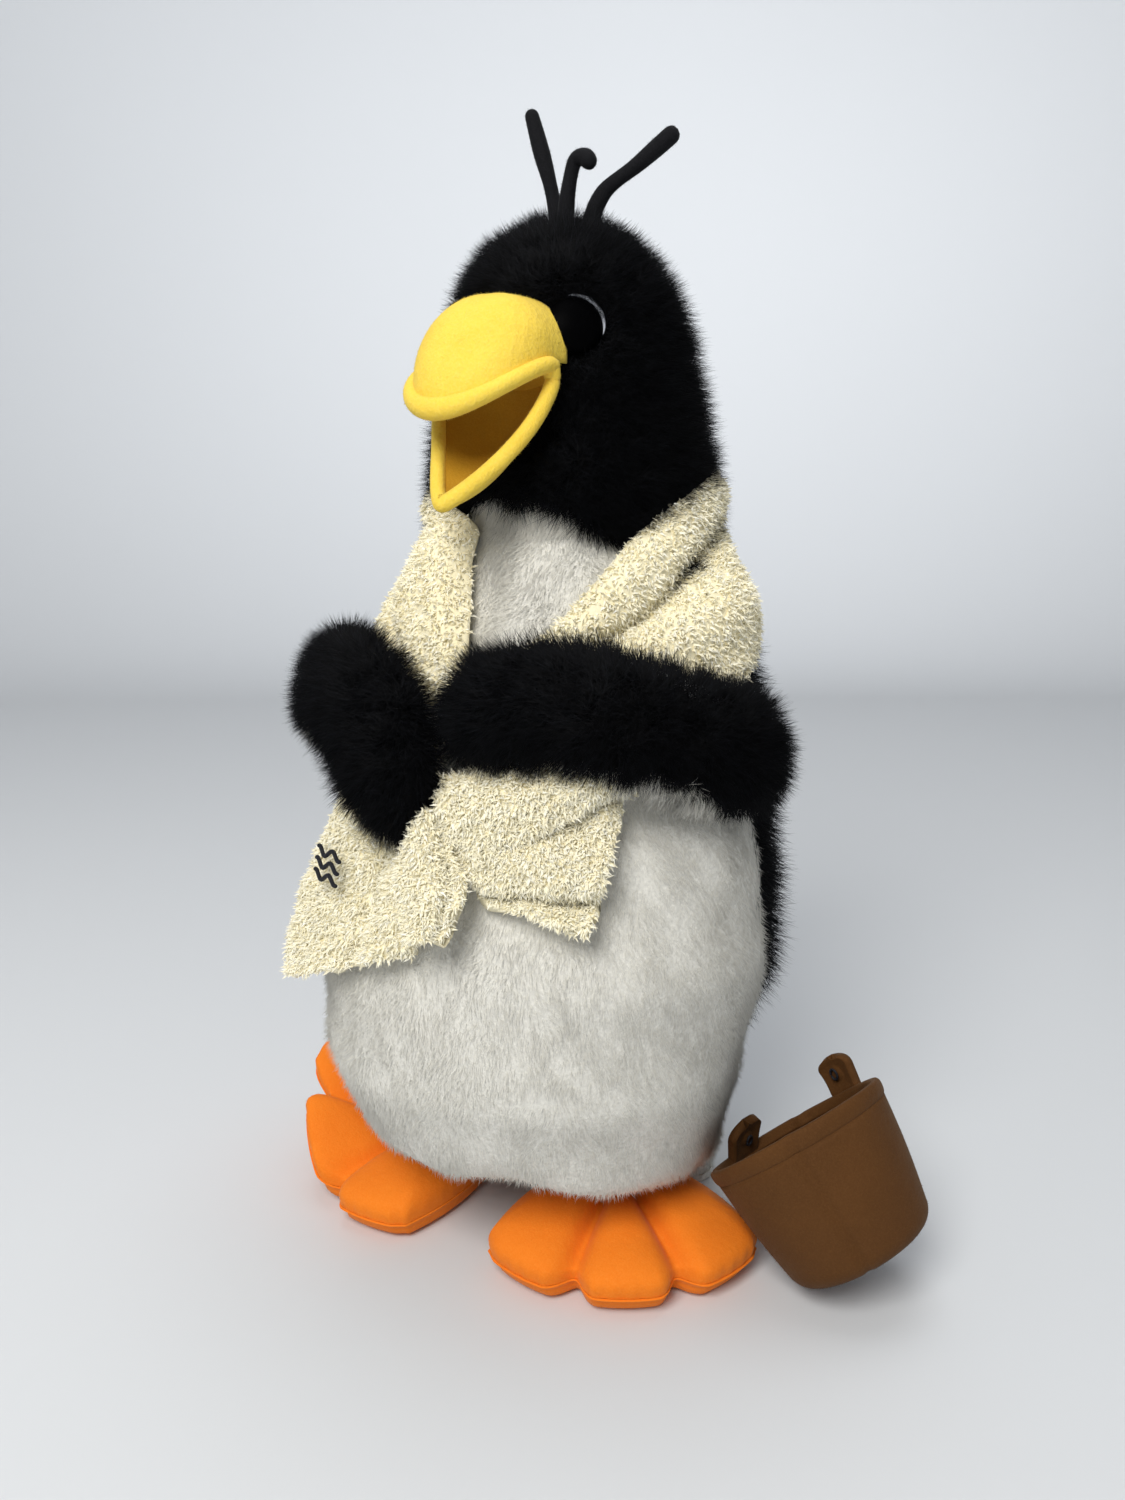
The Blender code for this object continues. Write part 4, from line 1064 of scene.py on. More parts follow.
@dataclass
class Beak:
    """The open beak: a domed fleece upper with a rolled rim, and a pointed trough below."""

    figure: Figure
    half: float = 0.0246
    length: float = 0.0300
    height: float = 0.0235
    droop: float = 0.015
    root: float = 0.050
    corner_lift: float = 0.0585
    rim: float = 0.0030
    jaw_length: float = 0.051
    jaw_depth: float = 0.0095
    jaw_angle: float = 53.0

    def __post_init__(self) -> None:
        """Places the beak on the frame."""
        self.root_y = self.figure.axis_y - self.root
        self.corner = self.figure.neck + self.corner_lift

    def rim_line(self, reach: Array) -> Array:
        """The rim's height, which droops to the tip as a power of the reach."""
        return self.corner - self.droop * np.maximum(reach, 0.0) ** 1.5

    def build(self) -> None:
        """The upper rides on the head, the lower on its own body."""
        self.upper()
        self.palate()
        self.lower()

    def upper(self) -> None:
        """The dome: its reach runs as a sine so that it closes round at the tip, and each row is half an
        ellipse. The rim is a flattened roll along its edge."""
        t = np.linspace(-0.40, math.pi / 2, 46)[:, None]
        angle = np.linspace(-math.pi / 2, math.pi / 2, 49)[None, :]
        reach, round_share = np.sin(t), np.cos(np.maximum(t, 0))
        fill = 1 + 0.05 * np.sin(2 * np.abs(angle))
        x = self.half * round_share * np.sin(angle) * fill
        crown = self.height * round_share ** 0.92 * np.cos(angle) ** 0.9
        z = self.rim_line(reach) + crown * fill
        y = self.root_y - self.length * reach + 0 * angle
        points = np.stack([x, y, z], axis=-1)
        patch = Patch(points, centre=np.array([0.0, self.root_y, self.corner - 0.01]))
        dome = patch.build("upper_beak_dome")
        thicken(dome, 0.0012, -1.0)
        finished(dome, Finish.YELLOW_FLEECE, "head", "yellow_fleece", "upper_beak_skin")
        rng = np.random.default_rng(61)
        roots = patch.scatter(9000, rng)
        fuzz = grow("upper_beak_fuzz", roots, -UP + 0 * roots.points, FUZZ, 62)
        finished(fuzz, Finish.YELLOW_FUZZ, "head", "yellow_fleece")
        s = np.linspace(-0.05, math.pi / 2, 56)
        side = np.stack([(self.half + 0.0006) * np.cos(np.maximum(s, 0)), self.root_y - (self.length + 0.0006)
                         * np.sin(s), self.rim_line(np.sin(s)) - 0.0011], axis=1)
        low = np.linspace(0, math.pi / 2, 9)[:-1, None]
        end = side[0] + np.cos(low) * [-0.0006, 0.0002, -0.0052] + (np.sin(low) - 1) * [0, -0.0028, 0]
        side = np.concatenate([end, side])
        path = np.concatenate([side, (side * [-1, 1, 1])[-2::-1]])
        middle = bump_at(np.linspace(-1, 1, len(path)), 0.0, 0.30)
        roll = tube_patch(path, self.rim * (1 + 0.20 * middle), self.rim * (0.95 + 0.35 * middle), 24)
        rim = roll.build("upper_beak_roll", ends=(True, True))
        finished(rim, Finish.YELLOW_FLEECE, "head", "yellow_fleece", "upper_beak_rim")
        roots = roll.scatter(6000, rng)
        fuzz = grow("upper_rim_fuzz", roots, -UP + 0 * roots.points, FUZZ, 63)
        finished(fuzz, Finish.YELLOW_FUZZ, "head", "yellow_fleece")

    def palate(self) -> None:
        """The felt roof of the mouth: the rim's plane, a little domed, easing down behind to the hinge."""
        t = np.linspace(-0.40, math.pi / 2 - 0.02, 40)[:, None]
        share = np.linspace(-1, 1, 25)[None, :]
        back = bell_edge(-t, -0.30, 0.40)
        x = (self.half - 0.001) * np.cos(np.maximum(t, 0)) * share
        y = self.root_y - (self.length - 0.001) * np.sin(t) - 0.006 * back**2 + 0 * share
        z = self.rim_line(np.sin(t)) + 0.004 * (1 - share**2) * np.cos(np.maximum(t, 0)) - 0.013 * back**1.5
        patch = Patch(np.stack([x, y, z], axis=-1), centre=np.array([0, self.root_y, self.corner + 0.1]))
        obj = thicken(patch.build("palate_felt"), 0.0010, -1.0)
        finished(obj, Finish.MOUTH_FELT, "head", "mouth_felt", "palate_lining")

    def jaw(self, along: Array, across: Array, depth: Array) -> Array:
        """A place in the lower beak's own directions: along from the hinge, across, and depth behind."""
        angle = math.radians(self.jaw_angle)
        ahead = np.array([0, -math.cos(angle), -math.sin(angle)])
        behind = np.array([0, math.sin(angle), -math.cos(angle)])
        joints = {joint["name"]: joint for joint in frame["joints"]}
        hinge = np.array(joints["lower_beak_squeeze"]["pos_m"])
        flat = np.stack([across, 0 * across, 0 * across], axis=-1)
        return hinge + along[..., None] * ahead + depth[..., None] * behind + flat

    def lean(self, share: Array) -> Array:
        """How far the lower beak's middle line bows to the toy's left: one arch of a sine."""
        return 0.0036 * np.sin(math.pi * share)

    def lower(self) -> None:
        """The trough: its half width falls to the tip as a power curve, and each row is a parabola across."""
        share = np.linspace(0.0, 0.995, 44)[:, None]
        across = np.linspace(-1, 1, 33)[None, :]

        def trough(inset: float, deeper: float) -> Array:
            half = (self.half - 0.0005) * (1 - share**1.45) ** 0.82 - inset * (1 - share**6)
            hollow = (self.jaw_depth + deeper) * 4 * (share * 0.9 + 0.1) * (1.0 - share)
            keel = 0.5 * (1 - across**2) + 0.5 * (1 - np.abs(across))
            return self.jaw(self.jaw_length * share + 0 * across, half * across + self.lean(share),
                            hollow * keel + deeper + 0 * across)

        inside = self.jaw(np.array([0.02]), np.array([0.0]), np.array([-0.05]))[0]
        skin = Patch(trough(0.0, 0.0012), centre=inside)
        obj = thicken(skin.build("lower_beak_fleece"), 0.0014, 1.0)
        finished(obj, Finish.YELLOW_FLEECE, "lower_beak", "yellow_fleece", "lower_beak_skin")
        outside = self.jaw(np.array([0.02]), np.array([0.0]), np.array([0.08]))[0]
        lining = Patch(trough(0.0008, 0.0), centre=outside)
        obj = thicken(lining.build("lower_beak_felt"), 0.0008, 1.0)
        finished(obj, Finish.MOUTH_FELT, "lower_beak", "mouth_felt", "lower_beak_lining")
        tip = 0.9 + 0.1 * np.sin(np.linspace(0, math.pi / 2, 14))
        s = np.concatenate([np.linspace(-0.05, 0.9, 28), tip[1:]])
        half = (self.half - 0.0002) * np.maximum(1 - np.maximum(s, 0) ** 1.45, 0) ** 0.82 + 0.0004
        near = self.jaw(self.jaw_length * s, half + self.lean(s), 0 * s)
        far = self.jaw(self.jaw_length * s, self.lean(s) - half, 0 * s)
        path = np.concatenate([near, far[-2::-1]])
        roll = tube_patch(path, 0.0027, 0.0029, 18)
        obj = roll.build("lower_beak_roll", ends=(True, True))
        finished(obj, Finish.YELLOW_FLEECE, "lower_beak", "yellow_fleece", "lower_beak_rim")
        roots = roll.scatter(4000, np.random.default_rng(64))
        fuzz = grow("lower_rim_fuzz", roots, -UP + 0 * roots.points, FUZZ, 65)
        finished(fuzz, Finish.YELLOW_FUZZ, "lower_beak", "yellow_fleece")


@dataclass
class Crest:
    """Three felt tufts on the crown, each a cord with rounded ends."""

    figure: Figure
    radius: float = 0.0029
    routes: dict[str, tuple] = field(default_factory=lambda: {
        "left": ((0.007, 0.003, 0.001), (0.013, 0.004, 0.011), (0.026, 0.006, 0.019), (0.041, 0.008, 0.029)),
        "middle": ((0.0, -0.003, 0.001), (0.001, -0.003, 0.010), (0.004, -0.003, 0.0205),
                   (0.009, -0.003, 0.0215), (0.0115, -0.003, 0.0175)),
        "right": ((-0.007, 0.002, 0.001), (-0.010, 0.002, 0.014), (-0.014, 0.001, 0.028), (-0.018, 0.0, 0.042)),
    })

    def build(self) -> None:
        """Each tuft rides on its own body and grows a little fuzz."""
        root = np.array([0, self.figure.axis_y, self.figure.crown + 0.0004])
        for seed, (word, route) in enumerate(self.routes.items()):
            line = spline(np.array(route), 60)
            line[0] -= [0, 0, 0.004]
            steps = np.linspace(0, 1, len(line))
            radius = self.radius * (1.0 + 0.10 * np.sin(steps * 9 + seed))
            patch = tube_patch(root + line, radius, radius, 18)
            obj = patch.build(f"{word}_crest_felt", ends=(True, True))
            finished(obj, Finish.BLACK_FELT, f"{word}_tuft", "black_felt", f"{word}_crest_tuft")
            roots = patch.scatter(2500, np.random.default_rng(70 + seed))
            fuzz = grow(f"{word}_crest_fuzz", roots, UP + 0 * roots.points, FUZZ, 75 + seed)
            finished(fuzz, Finish.BLACK_PILE, f"{word}_tuft", "black_felt")


class Side(Enum):
    """Which of the toy's sides a piece is on."""

    LEFT = 1
    RIGHT = -1

    @property
    def word(self) -> str:
        """Its name in the nodes' names."""
        return self.name.lower()


@dataclass
class Wing:
    """A flat stuffed wing folded over the chest: black long pile outside and white pile against the body.

    The route is the wing's middle line from the shoulder, as turn, height, width share and distance off the
    body, and each row across it is a flattened ellipse.
    """

    figure: Figure
    side: Side
    route: tuple
    rows: int = 90
    columns: int = 56
    half_height: float = 0.0185
    half_thickness: float = 0.0090
    strands: int = 40000
    long: Pile = Pile(0.0105, 0.00034, 0.45, 0.0, 0.34, 0.28, 0.013, 0.3)
    short: Pile = Pile(0.0085, 0.00030, 0.50, 0.0, 0.30, 0.2, 0.014, 0.3, 0.85)

    def patch(self) -> Patch:
        """The wing's surface: widths close as a quarter circle at the tip and at the shoulder."""
        line = spline(np.array(self.route), self.rows)
        share = np.linspace(0, 1, self.rows)
        close = np.sqrt(np.clip(1 - np.clip((share - 0.86) / 0.14, 0, 1) ** 2, 0, 1))
        close = close * np.sqrt(np.clip(1 - np.clip((0.06 - share) / 0.07, 0, 1) ** 2, 0, 1))
        width = self.half_height * line[:, 2] * (0.04 + 0.96 * close)
        thick = self.half_thickness * (0.62 + 0.38 * line[:, 2]) * (0.06 + 0.94 * close)
        middle = self.figure.at(line[:, 1], line[:, 0], line[:, 3] + thick)
        ahead = unit(np.gradient(middle, axis=0))
        out = self.figure.at(line[:, 1], line[:, 0], 0.06) - middle
        out = unit(out - (out * ahead).sum(axis=1, keepdims=True) * ahead)
        up = np.cross(ahead, out) * self.side.value
        angle = np.linspace(0, 2 * math.pi, self.columns, endpoint=False)
        crease = 1 - 0.10 * bump_at(share, 0.42, 0.05) - 0.07 * bump_at(share, 0.70, 0.04)
        ring = (thick * crease)[:, None, None] * np.cos(angle)[None, :, None] * out[:, None]
        ring = ring + width[:, None, None] * np.sin(angle)[None, :, None] * up[:, None]
        return Patch(middle[:, None] + ring, wrap=True)

    def build(self) -> None:
        """The skin replaces both CAD skins, and the pile changes colour at the edges."""
        word, body = self.side.word, f"{self.side.word}_wing"
        patch = self.patch()
        angle = np.degrees(np.linspace(0, 2 * math.pi, self.columns + 1))[None, :]
        share = np.linspace(0, 1, self.rows)[:, None]
        white = ((angle > 108) & (angle < 262 + 52 * bump_at(share, 0.38, 0.22))).astype(float)
        skin = patch.build(f"{word}_wing_skin", ends=(True, True))
        give(skin, "white", np.ascontiguousarray(white[:, :-1]))
        finished(skin, Finish.SKIN, body, "black_plush", f"{word}_wing_outer", f"{word}_wing_underside")
        rng = np.random.default_rng(80 + self.side.value)
        for word_pile, finish, slot, keep, count, pile in (
            ("black", Finish.BLACK_PILE, "black_plush", cells(1 - white), self.strands, self.long),
            ("white", Finish.WHITE_PILE, "white_plush", cells(white), 12000, self.short),
        ):
            roots = patch.scatter(count, rng, keep > 0.5)
            obj = grow(f"{word}_wing_pile_{word_pile}", roots, self.brush(patch, roots), pile, 83)
            finished(obj, finish, body, slot)

    def brush(self, patch: Patch, roots: Roots) -> Array:
        """Along the wing towards its tip, and down."""
        line = patch.points.mean(axis=1)
        ahead = unit(np.gradient(line, axis=0))
        place = roots.along * (len(line) - 1)
        way = ahead[place.astype(int)]
        return 0.75 * way - 0.75 * UP + 0.3 * ripple(roots.points, 0.04, np.random.default_rng(85))


@dataclass
class Foot:
    """A velour foot of three plump toes, its upper sewn to a flat sole."""

    side: Side
    heel: tuple[float, float]
    splay: float
    curl: float
    figure: Figure
    toe_length: float = 0.067
    toe_spread: float = 41.0
    heel_radius: float = 0.022
    rise: float = 0.0265
    seam: float = 0.0085
    valley_depth: float = 0.50
    columns: int = 240

    def outline(self, angle: Array) -> tuple[Array, Array]:
        """Reach from the heel, and the angle off the middle toe: each toe's end is a shallow cosine whose
        period is the spread, with narrow notches between toes, and behind the outer toes the outline falls
        back to the heel."""
        off = np.minimum(angle, 360 - angle)
        edge = 1.42 * self.toe_spread
        point = np.cos(np.radians(360 * off / self.toe_spread))
        notch = bump_at(off, self.toe_spread / 2, 4.6)
        front = self.toe_length * (0.950 + 0.042 * point - 0.105 * notch)
        corner = self.toe_length * (0.94 - 0.4 * np.clip((off - edge + 8) / 40, 0, 1) ** 2)
        fall = np.clip((off - edge) / (180 - edge), 0, 1)
        rear = self.heel_radius + (self.toe_length * 0.92 - self.heel_radius) * (1 - fall) ** 4.5
        reach = np.minimum(np.where(off <= edge, front, rear), np.maximum(corner, rear * 0.985))
        return reach, off

    def place(self, angle: Array, reach: Array, height: Array) -> Array:
        """From round the heel to the toy, with the far toe curled up a little."""
        a = np.radians(self.splay + angle)
        x = self.heel[0] + reach * np.sin(a)
        y = self.heel[1] + self.figure.axis_y - reach * np.cos(a)
        beyond = np.maximum(np.abs(x) - 0.066, 0.0)
        return np.stack([x, y, height + self.curl * beyond**2 / (beyond + 0.012)], axis=-1)

    def build(self) -> None:
        """The upper is a superellipse from the seam over the top, and the sole one down to the ground."""
        angle = np.linspace(0, 360, self.columns, endpoint=False)[None, :]
        reach, off = self.outline(angle)
        word = self.side.word
        t = np.linspace(0.0, math.pi / 2, 34)[:, None]
        share = np.cos(t) ** 0.72
        lift = np.sin(t) ** 0.74
        pucker = 1 + 0.004 * np.sin(np.radians(angle) * 57) * bump_at(t, 0.10, 0.12)
        pucker = pucker + 0.030 * np.sin(np.minimum(4 * t, math.pi)) ** 0.8
        valley = 0.55 * bump_at(off, self.toe_spread / 2, 3.2 / np.maximum(share, 0.25))
        valley = valley + 0.45 * bump_at(off, self.toe_spread / 2, 10.0)
        deep = self.valley_depth * valley * np.clip(share, 0, 1) ** 0.4
        deep = deep * np.sin(np.minimum(2.6 * t, math.pi / 2))
        height = self.seam + (self.rise - self.seam) * lift * (1 - deep)
        upper = Patch(self.place(angle + 0 * t, reach * np.maximum(share, 0.02) * pucker, height), wrap=True,
                      centre=self.place(np.array(0.0), np.array(0.02), np.array(0.0)))
        obj = upper.build(f"{word}_foot_velour", ends=(False, True))
        finished(obj, Finish.ORANGE_VELOUR, "toy_body", "orange_velour", f"{word}_foot_upper",
                 f"{word}_foot_stuffing")
        s = np.linspace(0.0, 1.0, 16)[:, None]
        curve = np.minimum(s / 0.55, 1.0)
        shrink = 0.998 + 0.022 * np.sin(math.pi * np.minimum(curve * 1.4, 1)) - 0.055 * curve**2
        shrink = shrink - 0.9 * np.clip((s - 0.55) / 0.45, 0, 1)
        level = self.seam * 0.97 * np.sqrt(np.clip(1 - curve**2, 0, 1)) + 0.0001
        under = self.place(angle + 0 * s, reach * np.maximum(shrink, 0.03), level + 0 * angle)
        sole = Patch(under, wrap=True, centre=self.place(np.array(0.0), np.array(0.02), np.array(0.01)))
        obj = sole.build(f"{word}_foot_sole_velour", ends=(False, True))
        finished(obj, Finish.ORANGE_VELOUR, "toy_body", "orange_velour", f"{word}_foot_sole")
        roots = upper.scatter(15000, np.random.default_rng(90 + self.side.value))
        fuzz = grow(f"{word}_foot_fuzz", roots, -UP + 0 * roots.points, FUZZ, 92)
        finished(fuzz, Finish.ORANGE_FUZZ, "toy_body", "orange_velour")


@dataclass(frozen=True)
class Fold:
    """A ridge or a dip of the towel: where it crosses the sheet at each end, its height and its width, and
    the stretch of the sheet that has it."""

    start: float
    end: float
    height: float
    width: float
    since: float = -1.0
    until: float = 2.0


@dataclass
class TowelPiece:
    """One folded stretch of the terry towel, lying on the toy.

    The outline gives turn and height of one edge and then of the other, along the stretch.
    """

    figure: Figure
    name: str
    node: str
    outline: tuple
    stand: float
    thickness: float
    held: str
    loops: int
    folds: tuple[Fold, ...] = ()
    rows: int = 90
    columns: int = 34
    seed: int = 100
    flare: float = 0.0
    terry: Pile = Pile(0.0034, 0.00100, 0.20, 0.9, 0.35, 0.50, 0.005, 0.35, 0.0, 1.0)

    def patch(self) -> Patch:
        """The sheet's outer surface: straight across between the edges, on the toy, lifted by its folds."""
        line = spline(np.array(self.outline), self.rows)
        along = np.linspace(0, 1, self.rows)[:, None]
        across = np.linspace(0, 1, self.columns)[None, :]
        turn = line[:, :1] + (line[:, 2:3] - line[:, :1]) * across
        height = line[:, 1:2] + (line[:, 3:4] - line[:, 1:2]) * across
        lift = self.stand + 0 * height
        for fold in self.folds:
            middle = fold.start + (fold.end - fold.start) * along
            there = bell_edge(along, fold.since - 0.04, fold.since + 0.04)
            there = there * bell_edge(-along, -fold.until - 0.04, -fold.until + 0.04)
            lift = lift + fold.height * bump_at(across, middle, fold.width) * there
        lift = lift + self.flare * (1 - across) ** 2 * along
        lift = lift - 0.0022 * (bump_at(across, 0.0, 0.05) + bump_at(across, 1.0, 0.05))
        lift = lift + 0.0010 * np.sin(along * 23 + across * 5 + self.seed) * np.sin(across * 9 + along * 7)
        axis = np.stack([0 * height, self.figure.axis_y + 0 * height, height], axis=-1)
        return Patch(self.figure.at(height, turn, lift), centre=axis)

    def build(self) -> None:
        """The ground cloth, grown outwards by its thickness, with loops over its face and its edges."""
        patch = self.patch()
        obj = thicken(patch.build(self.name), self.thickness, -1.0)
        finished(obj, Finish.TERRY_GROUND, "toy_body", "terry", self.node)
        g = patch.points
        crossed = np.cross(g[1:, 1:] - g[:-1, :-1], g[1:, :-1] - g[:-1, 1:])
        area = float(np.linalg.norm(crossed, axis=-1).sum() / 2)
        length = float(np.linalg.norm(np.diff(g[:, self.columns // 2], axis=0), axis=1).sum())
        rim = 2 * (length + area / length) * self.thickness
        flat = (round((area + rim / 2) / length, 4), round(length, 4))
        rng = np.random.default_rng(self.seed)
        roots = patch.scatter(self.loops, rng)
        loops = grow(f"{self.name}_loops", roots, -UP + 0 * roots.points, self.terry, self.seed + 1)
        finished(loops, Finish.TERRY_LOOPS, "toy_body", "terry")


@dataclass
class Towel:
    """The terry towel: a shawl round the neck whose bands cross under the wings, and its ends on the belly."""

    figure: Figure
    stand: float = 0.0072
    thickness: float = 0.0042

    def build(self) -> None:
        """Five stretches and the badge."""
        shawl = (
            (7.5, 0.229, -14.0, 0.224), (3.3, 0.239, -36.0, 0.233), (-2.6, 0.255, -60.0, 0.238),
            (-7.7, 0.272, -84.0, 0.243), (-10.0, 0.288, -104.0, 0.248), (-34.0, 0.297, -118.0, 0.250),
            (-85.0, 0.302, -136.0, 0.250), (-180.0, 0.306, -180.0, 0.247), (-250.0, 0.304, -226.0, 0.242),
            (-286.0, 0.294, -258.0, 0.234), (-305.0, 0.281, -276.0, 0.228), (-318.5, 0.268, -292.0, 0.225),
            (-328.4, 0.257, -305.0, 0.224), (-337.6, 0.245, -318.0, 0.223), (-346.4, 0.235, -330.0, 0.222),
            (-352.5, 0.228, -341.0, 0.220),
        )
        badged = ((-24.0, 0.198, -2.0, 0.191), (-30.0, 0.172, 4.0, 0.171), (-36.0, 0.146, 6.5, 0.154),
                  (-37.0, 0.117, 3.5, 0.141))
        knot = ((6.0, 0.187, 10.5, 0.191), (1.6, 0.174, 13.0, 0.178), (3.0, 0.160, 16.5, 0.167),
                (6.0, 0.147, 13.5, 0.150))
        bunch = ((9.0, 0.196, 12.0, 0.172), (19.0, 0.197, 19.0, 0.163), (30.0, 0.198, 29.0, 0.159),
                 (40.0, 0.198, 37.0, 0.155), (47.8, 0.198, 40.5, 0.153))
        flap = ((8.0, 0.200, 11.5, 0.181), (18.0, 0.205, 20.0, 0.178), (30.0, 0.207, 31.0, 0.186),
                (42.0, 0.205, 41.0, 0.195), (49.0, 0.201, 48.0, 0.199))
        cloth, stand = self.thickness, self.stand
        pieces = (
            TowelPiece(self.figure, "towel_shawl_terry", "towel_shawl", shawl, stand, cloth, "draped", 21000,
                       (Fold(0.14, 0.14, 0.0030, 0.12), Fold(0.36, 0.36, -0.0075, 0.06, 0.56, 1.1),
                        Fold(0.60, 0.62, 0.0040, 0.18, 0.56, 1.1), Fold(0.55, 0.40, -0.0030, 0.07, -0.1, 0.3)),
                       240, 44, 101),
            TowelPiece(self.figure, "towel_right_tail_terry", "towel_right_tail", badged, stand + 0.0010, cloth,
                       "hung", 8500, (Fold(0.90, 0.80, 0.0030, 0.10), Fold(0.72, 0.60, -0.0025, 0.06)), 70, 40,
                       103, 0.009),
            TowelPiece(self.figure, "towel_left_tail_terry", "towel_left_tail", bunch, stand + 0.0025, cloth,
                       "folded", 8500, (Fold(0.50, 0.62, 0.0050, 0.22), Fold(1.00, 0.74, -0.0070, 0.07),
                                        Fold(0.85, 1.00, 0.0030, 0.10)), 70, 44, 107),
            TowelPiece(self.figure, "towel_flap_terry", "towel_left_tail", flap, stand + 0.0085, cloth, "folded",
                       5000, (Fold(0.45, 0.50, 0.0040, 0.30),), 60, 26, 109),
            TowelPiece(self.figure, "towel_knot_terry", "towel_knot", knot, stand + 0.0110, cloth, "folded",
                       3500, (Fold(0.40, 0.60, 0.0040, 0.28), Fold(0.85, 0.80, -0.0040, 0.08)), 46, 24, 105),
        )
        for piece in pieces:
            piece.build()
        self.badge()

    def badge(self) -> None:
        """A small generic motif in black thread: three short waves, one above the other."""
        middle = middle_of("towel_badge")
        turn = math.degrees(math.atan2(middle[0], -(middle[1] - self.figure.axis_y)))
        s = np.linspace(-1, 1, 60)
        for step, word in enumerate(("low", "middle", "top")):
            height = middle[2] + 0.0042 * step - 0.001 + 0.0013 * np.sin(s * 5.5)
            line = self.figure.at(height, turn - 1.0 + 4.6 * s, self.stand + 0.0098)
            wave = tube(f"towel_badge_wave_{word}", line, 0.0008, 0.0008, 10)
            finished(wave, Finish.THREAD, "toy_body", "thread", *(("towel_badge",) if step == 0 else ()))


@dataclass
class Tail:
    """The short tail flap behind, with long pile on its upper layer."""

    figure: Figure
    strands: int = 14000
    long: Pile = Pile(0.011, 0.00026, 0.5, 0.0, 0.3, 0.2, 0.013, 0.3)

    def build(self) -> None:
        """A pointed sheet that droops: its half width falls as a power of the share along."""
        low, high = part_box("tail_top")
        half = (high.x - low.x) / 2
        share = np.linspace(0, 1, 40)[:, None]
        across = np.linspace(-1, 1, 31)[None, :]
        x = half * (1 - share**1.7) ** 0.9 * across
        y = low.y + 0.003 + (high.y - low.y - 0.003) * share + 0 * across
        z = high.z - 0.001 - (high.z - low.z - 0.002) * share - 0.004 * across**2 * (1 - share)
        patch = Patch(np.stack([x, y, z], axis=-1), centre=np.array([0, low.y, low.z - 0.05]))
        obj = thicken(patch.build("tail_plush"), 0.0045, -1.0)
        give(obj, "white", np.zeros(40 * 31))
        finished(obj, Finish.SKIN, "tail", "black_plush", "tail_top", "tail_underside")
        roots = patch.scatter(self.strands, np.random.default_rng(120))
        away = np.zeros_like(roots.points)
        away[:, 1] = 1.0
        pile = grow("tail_pile", roots, away - 0.4 * UP, self.long, 121)
        finished(pile, Finish.BLACK_PILE, "tail", "black_plush")


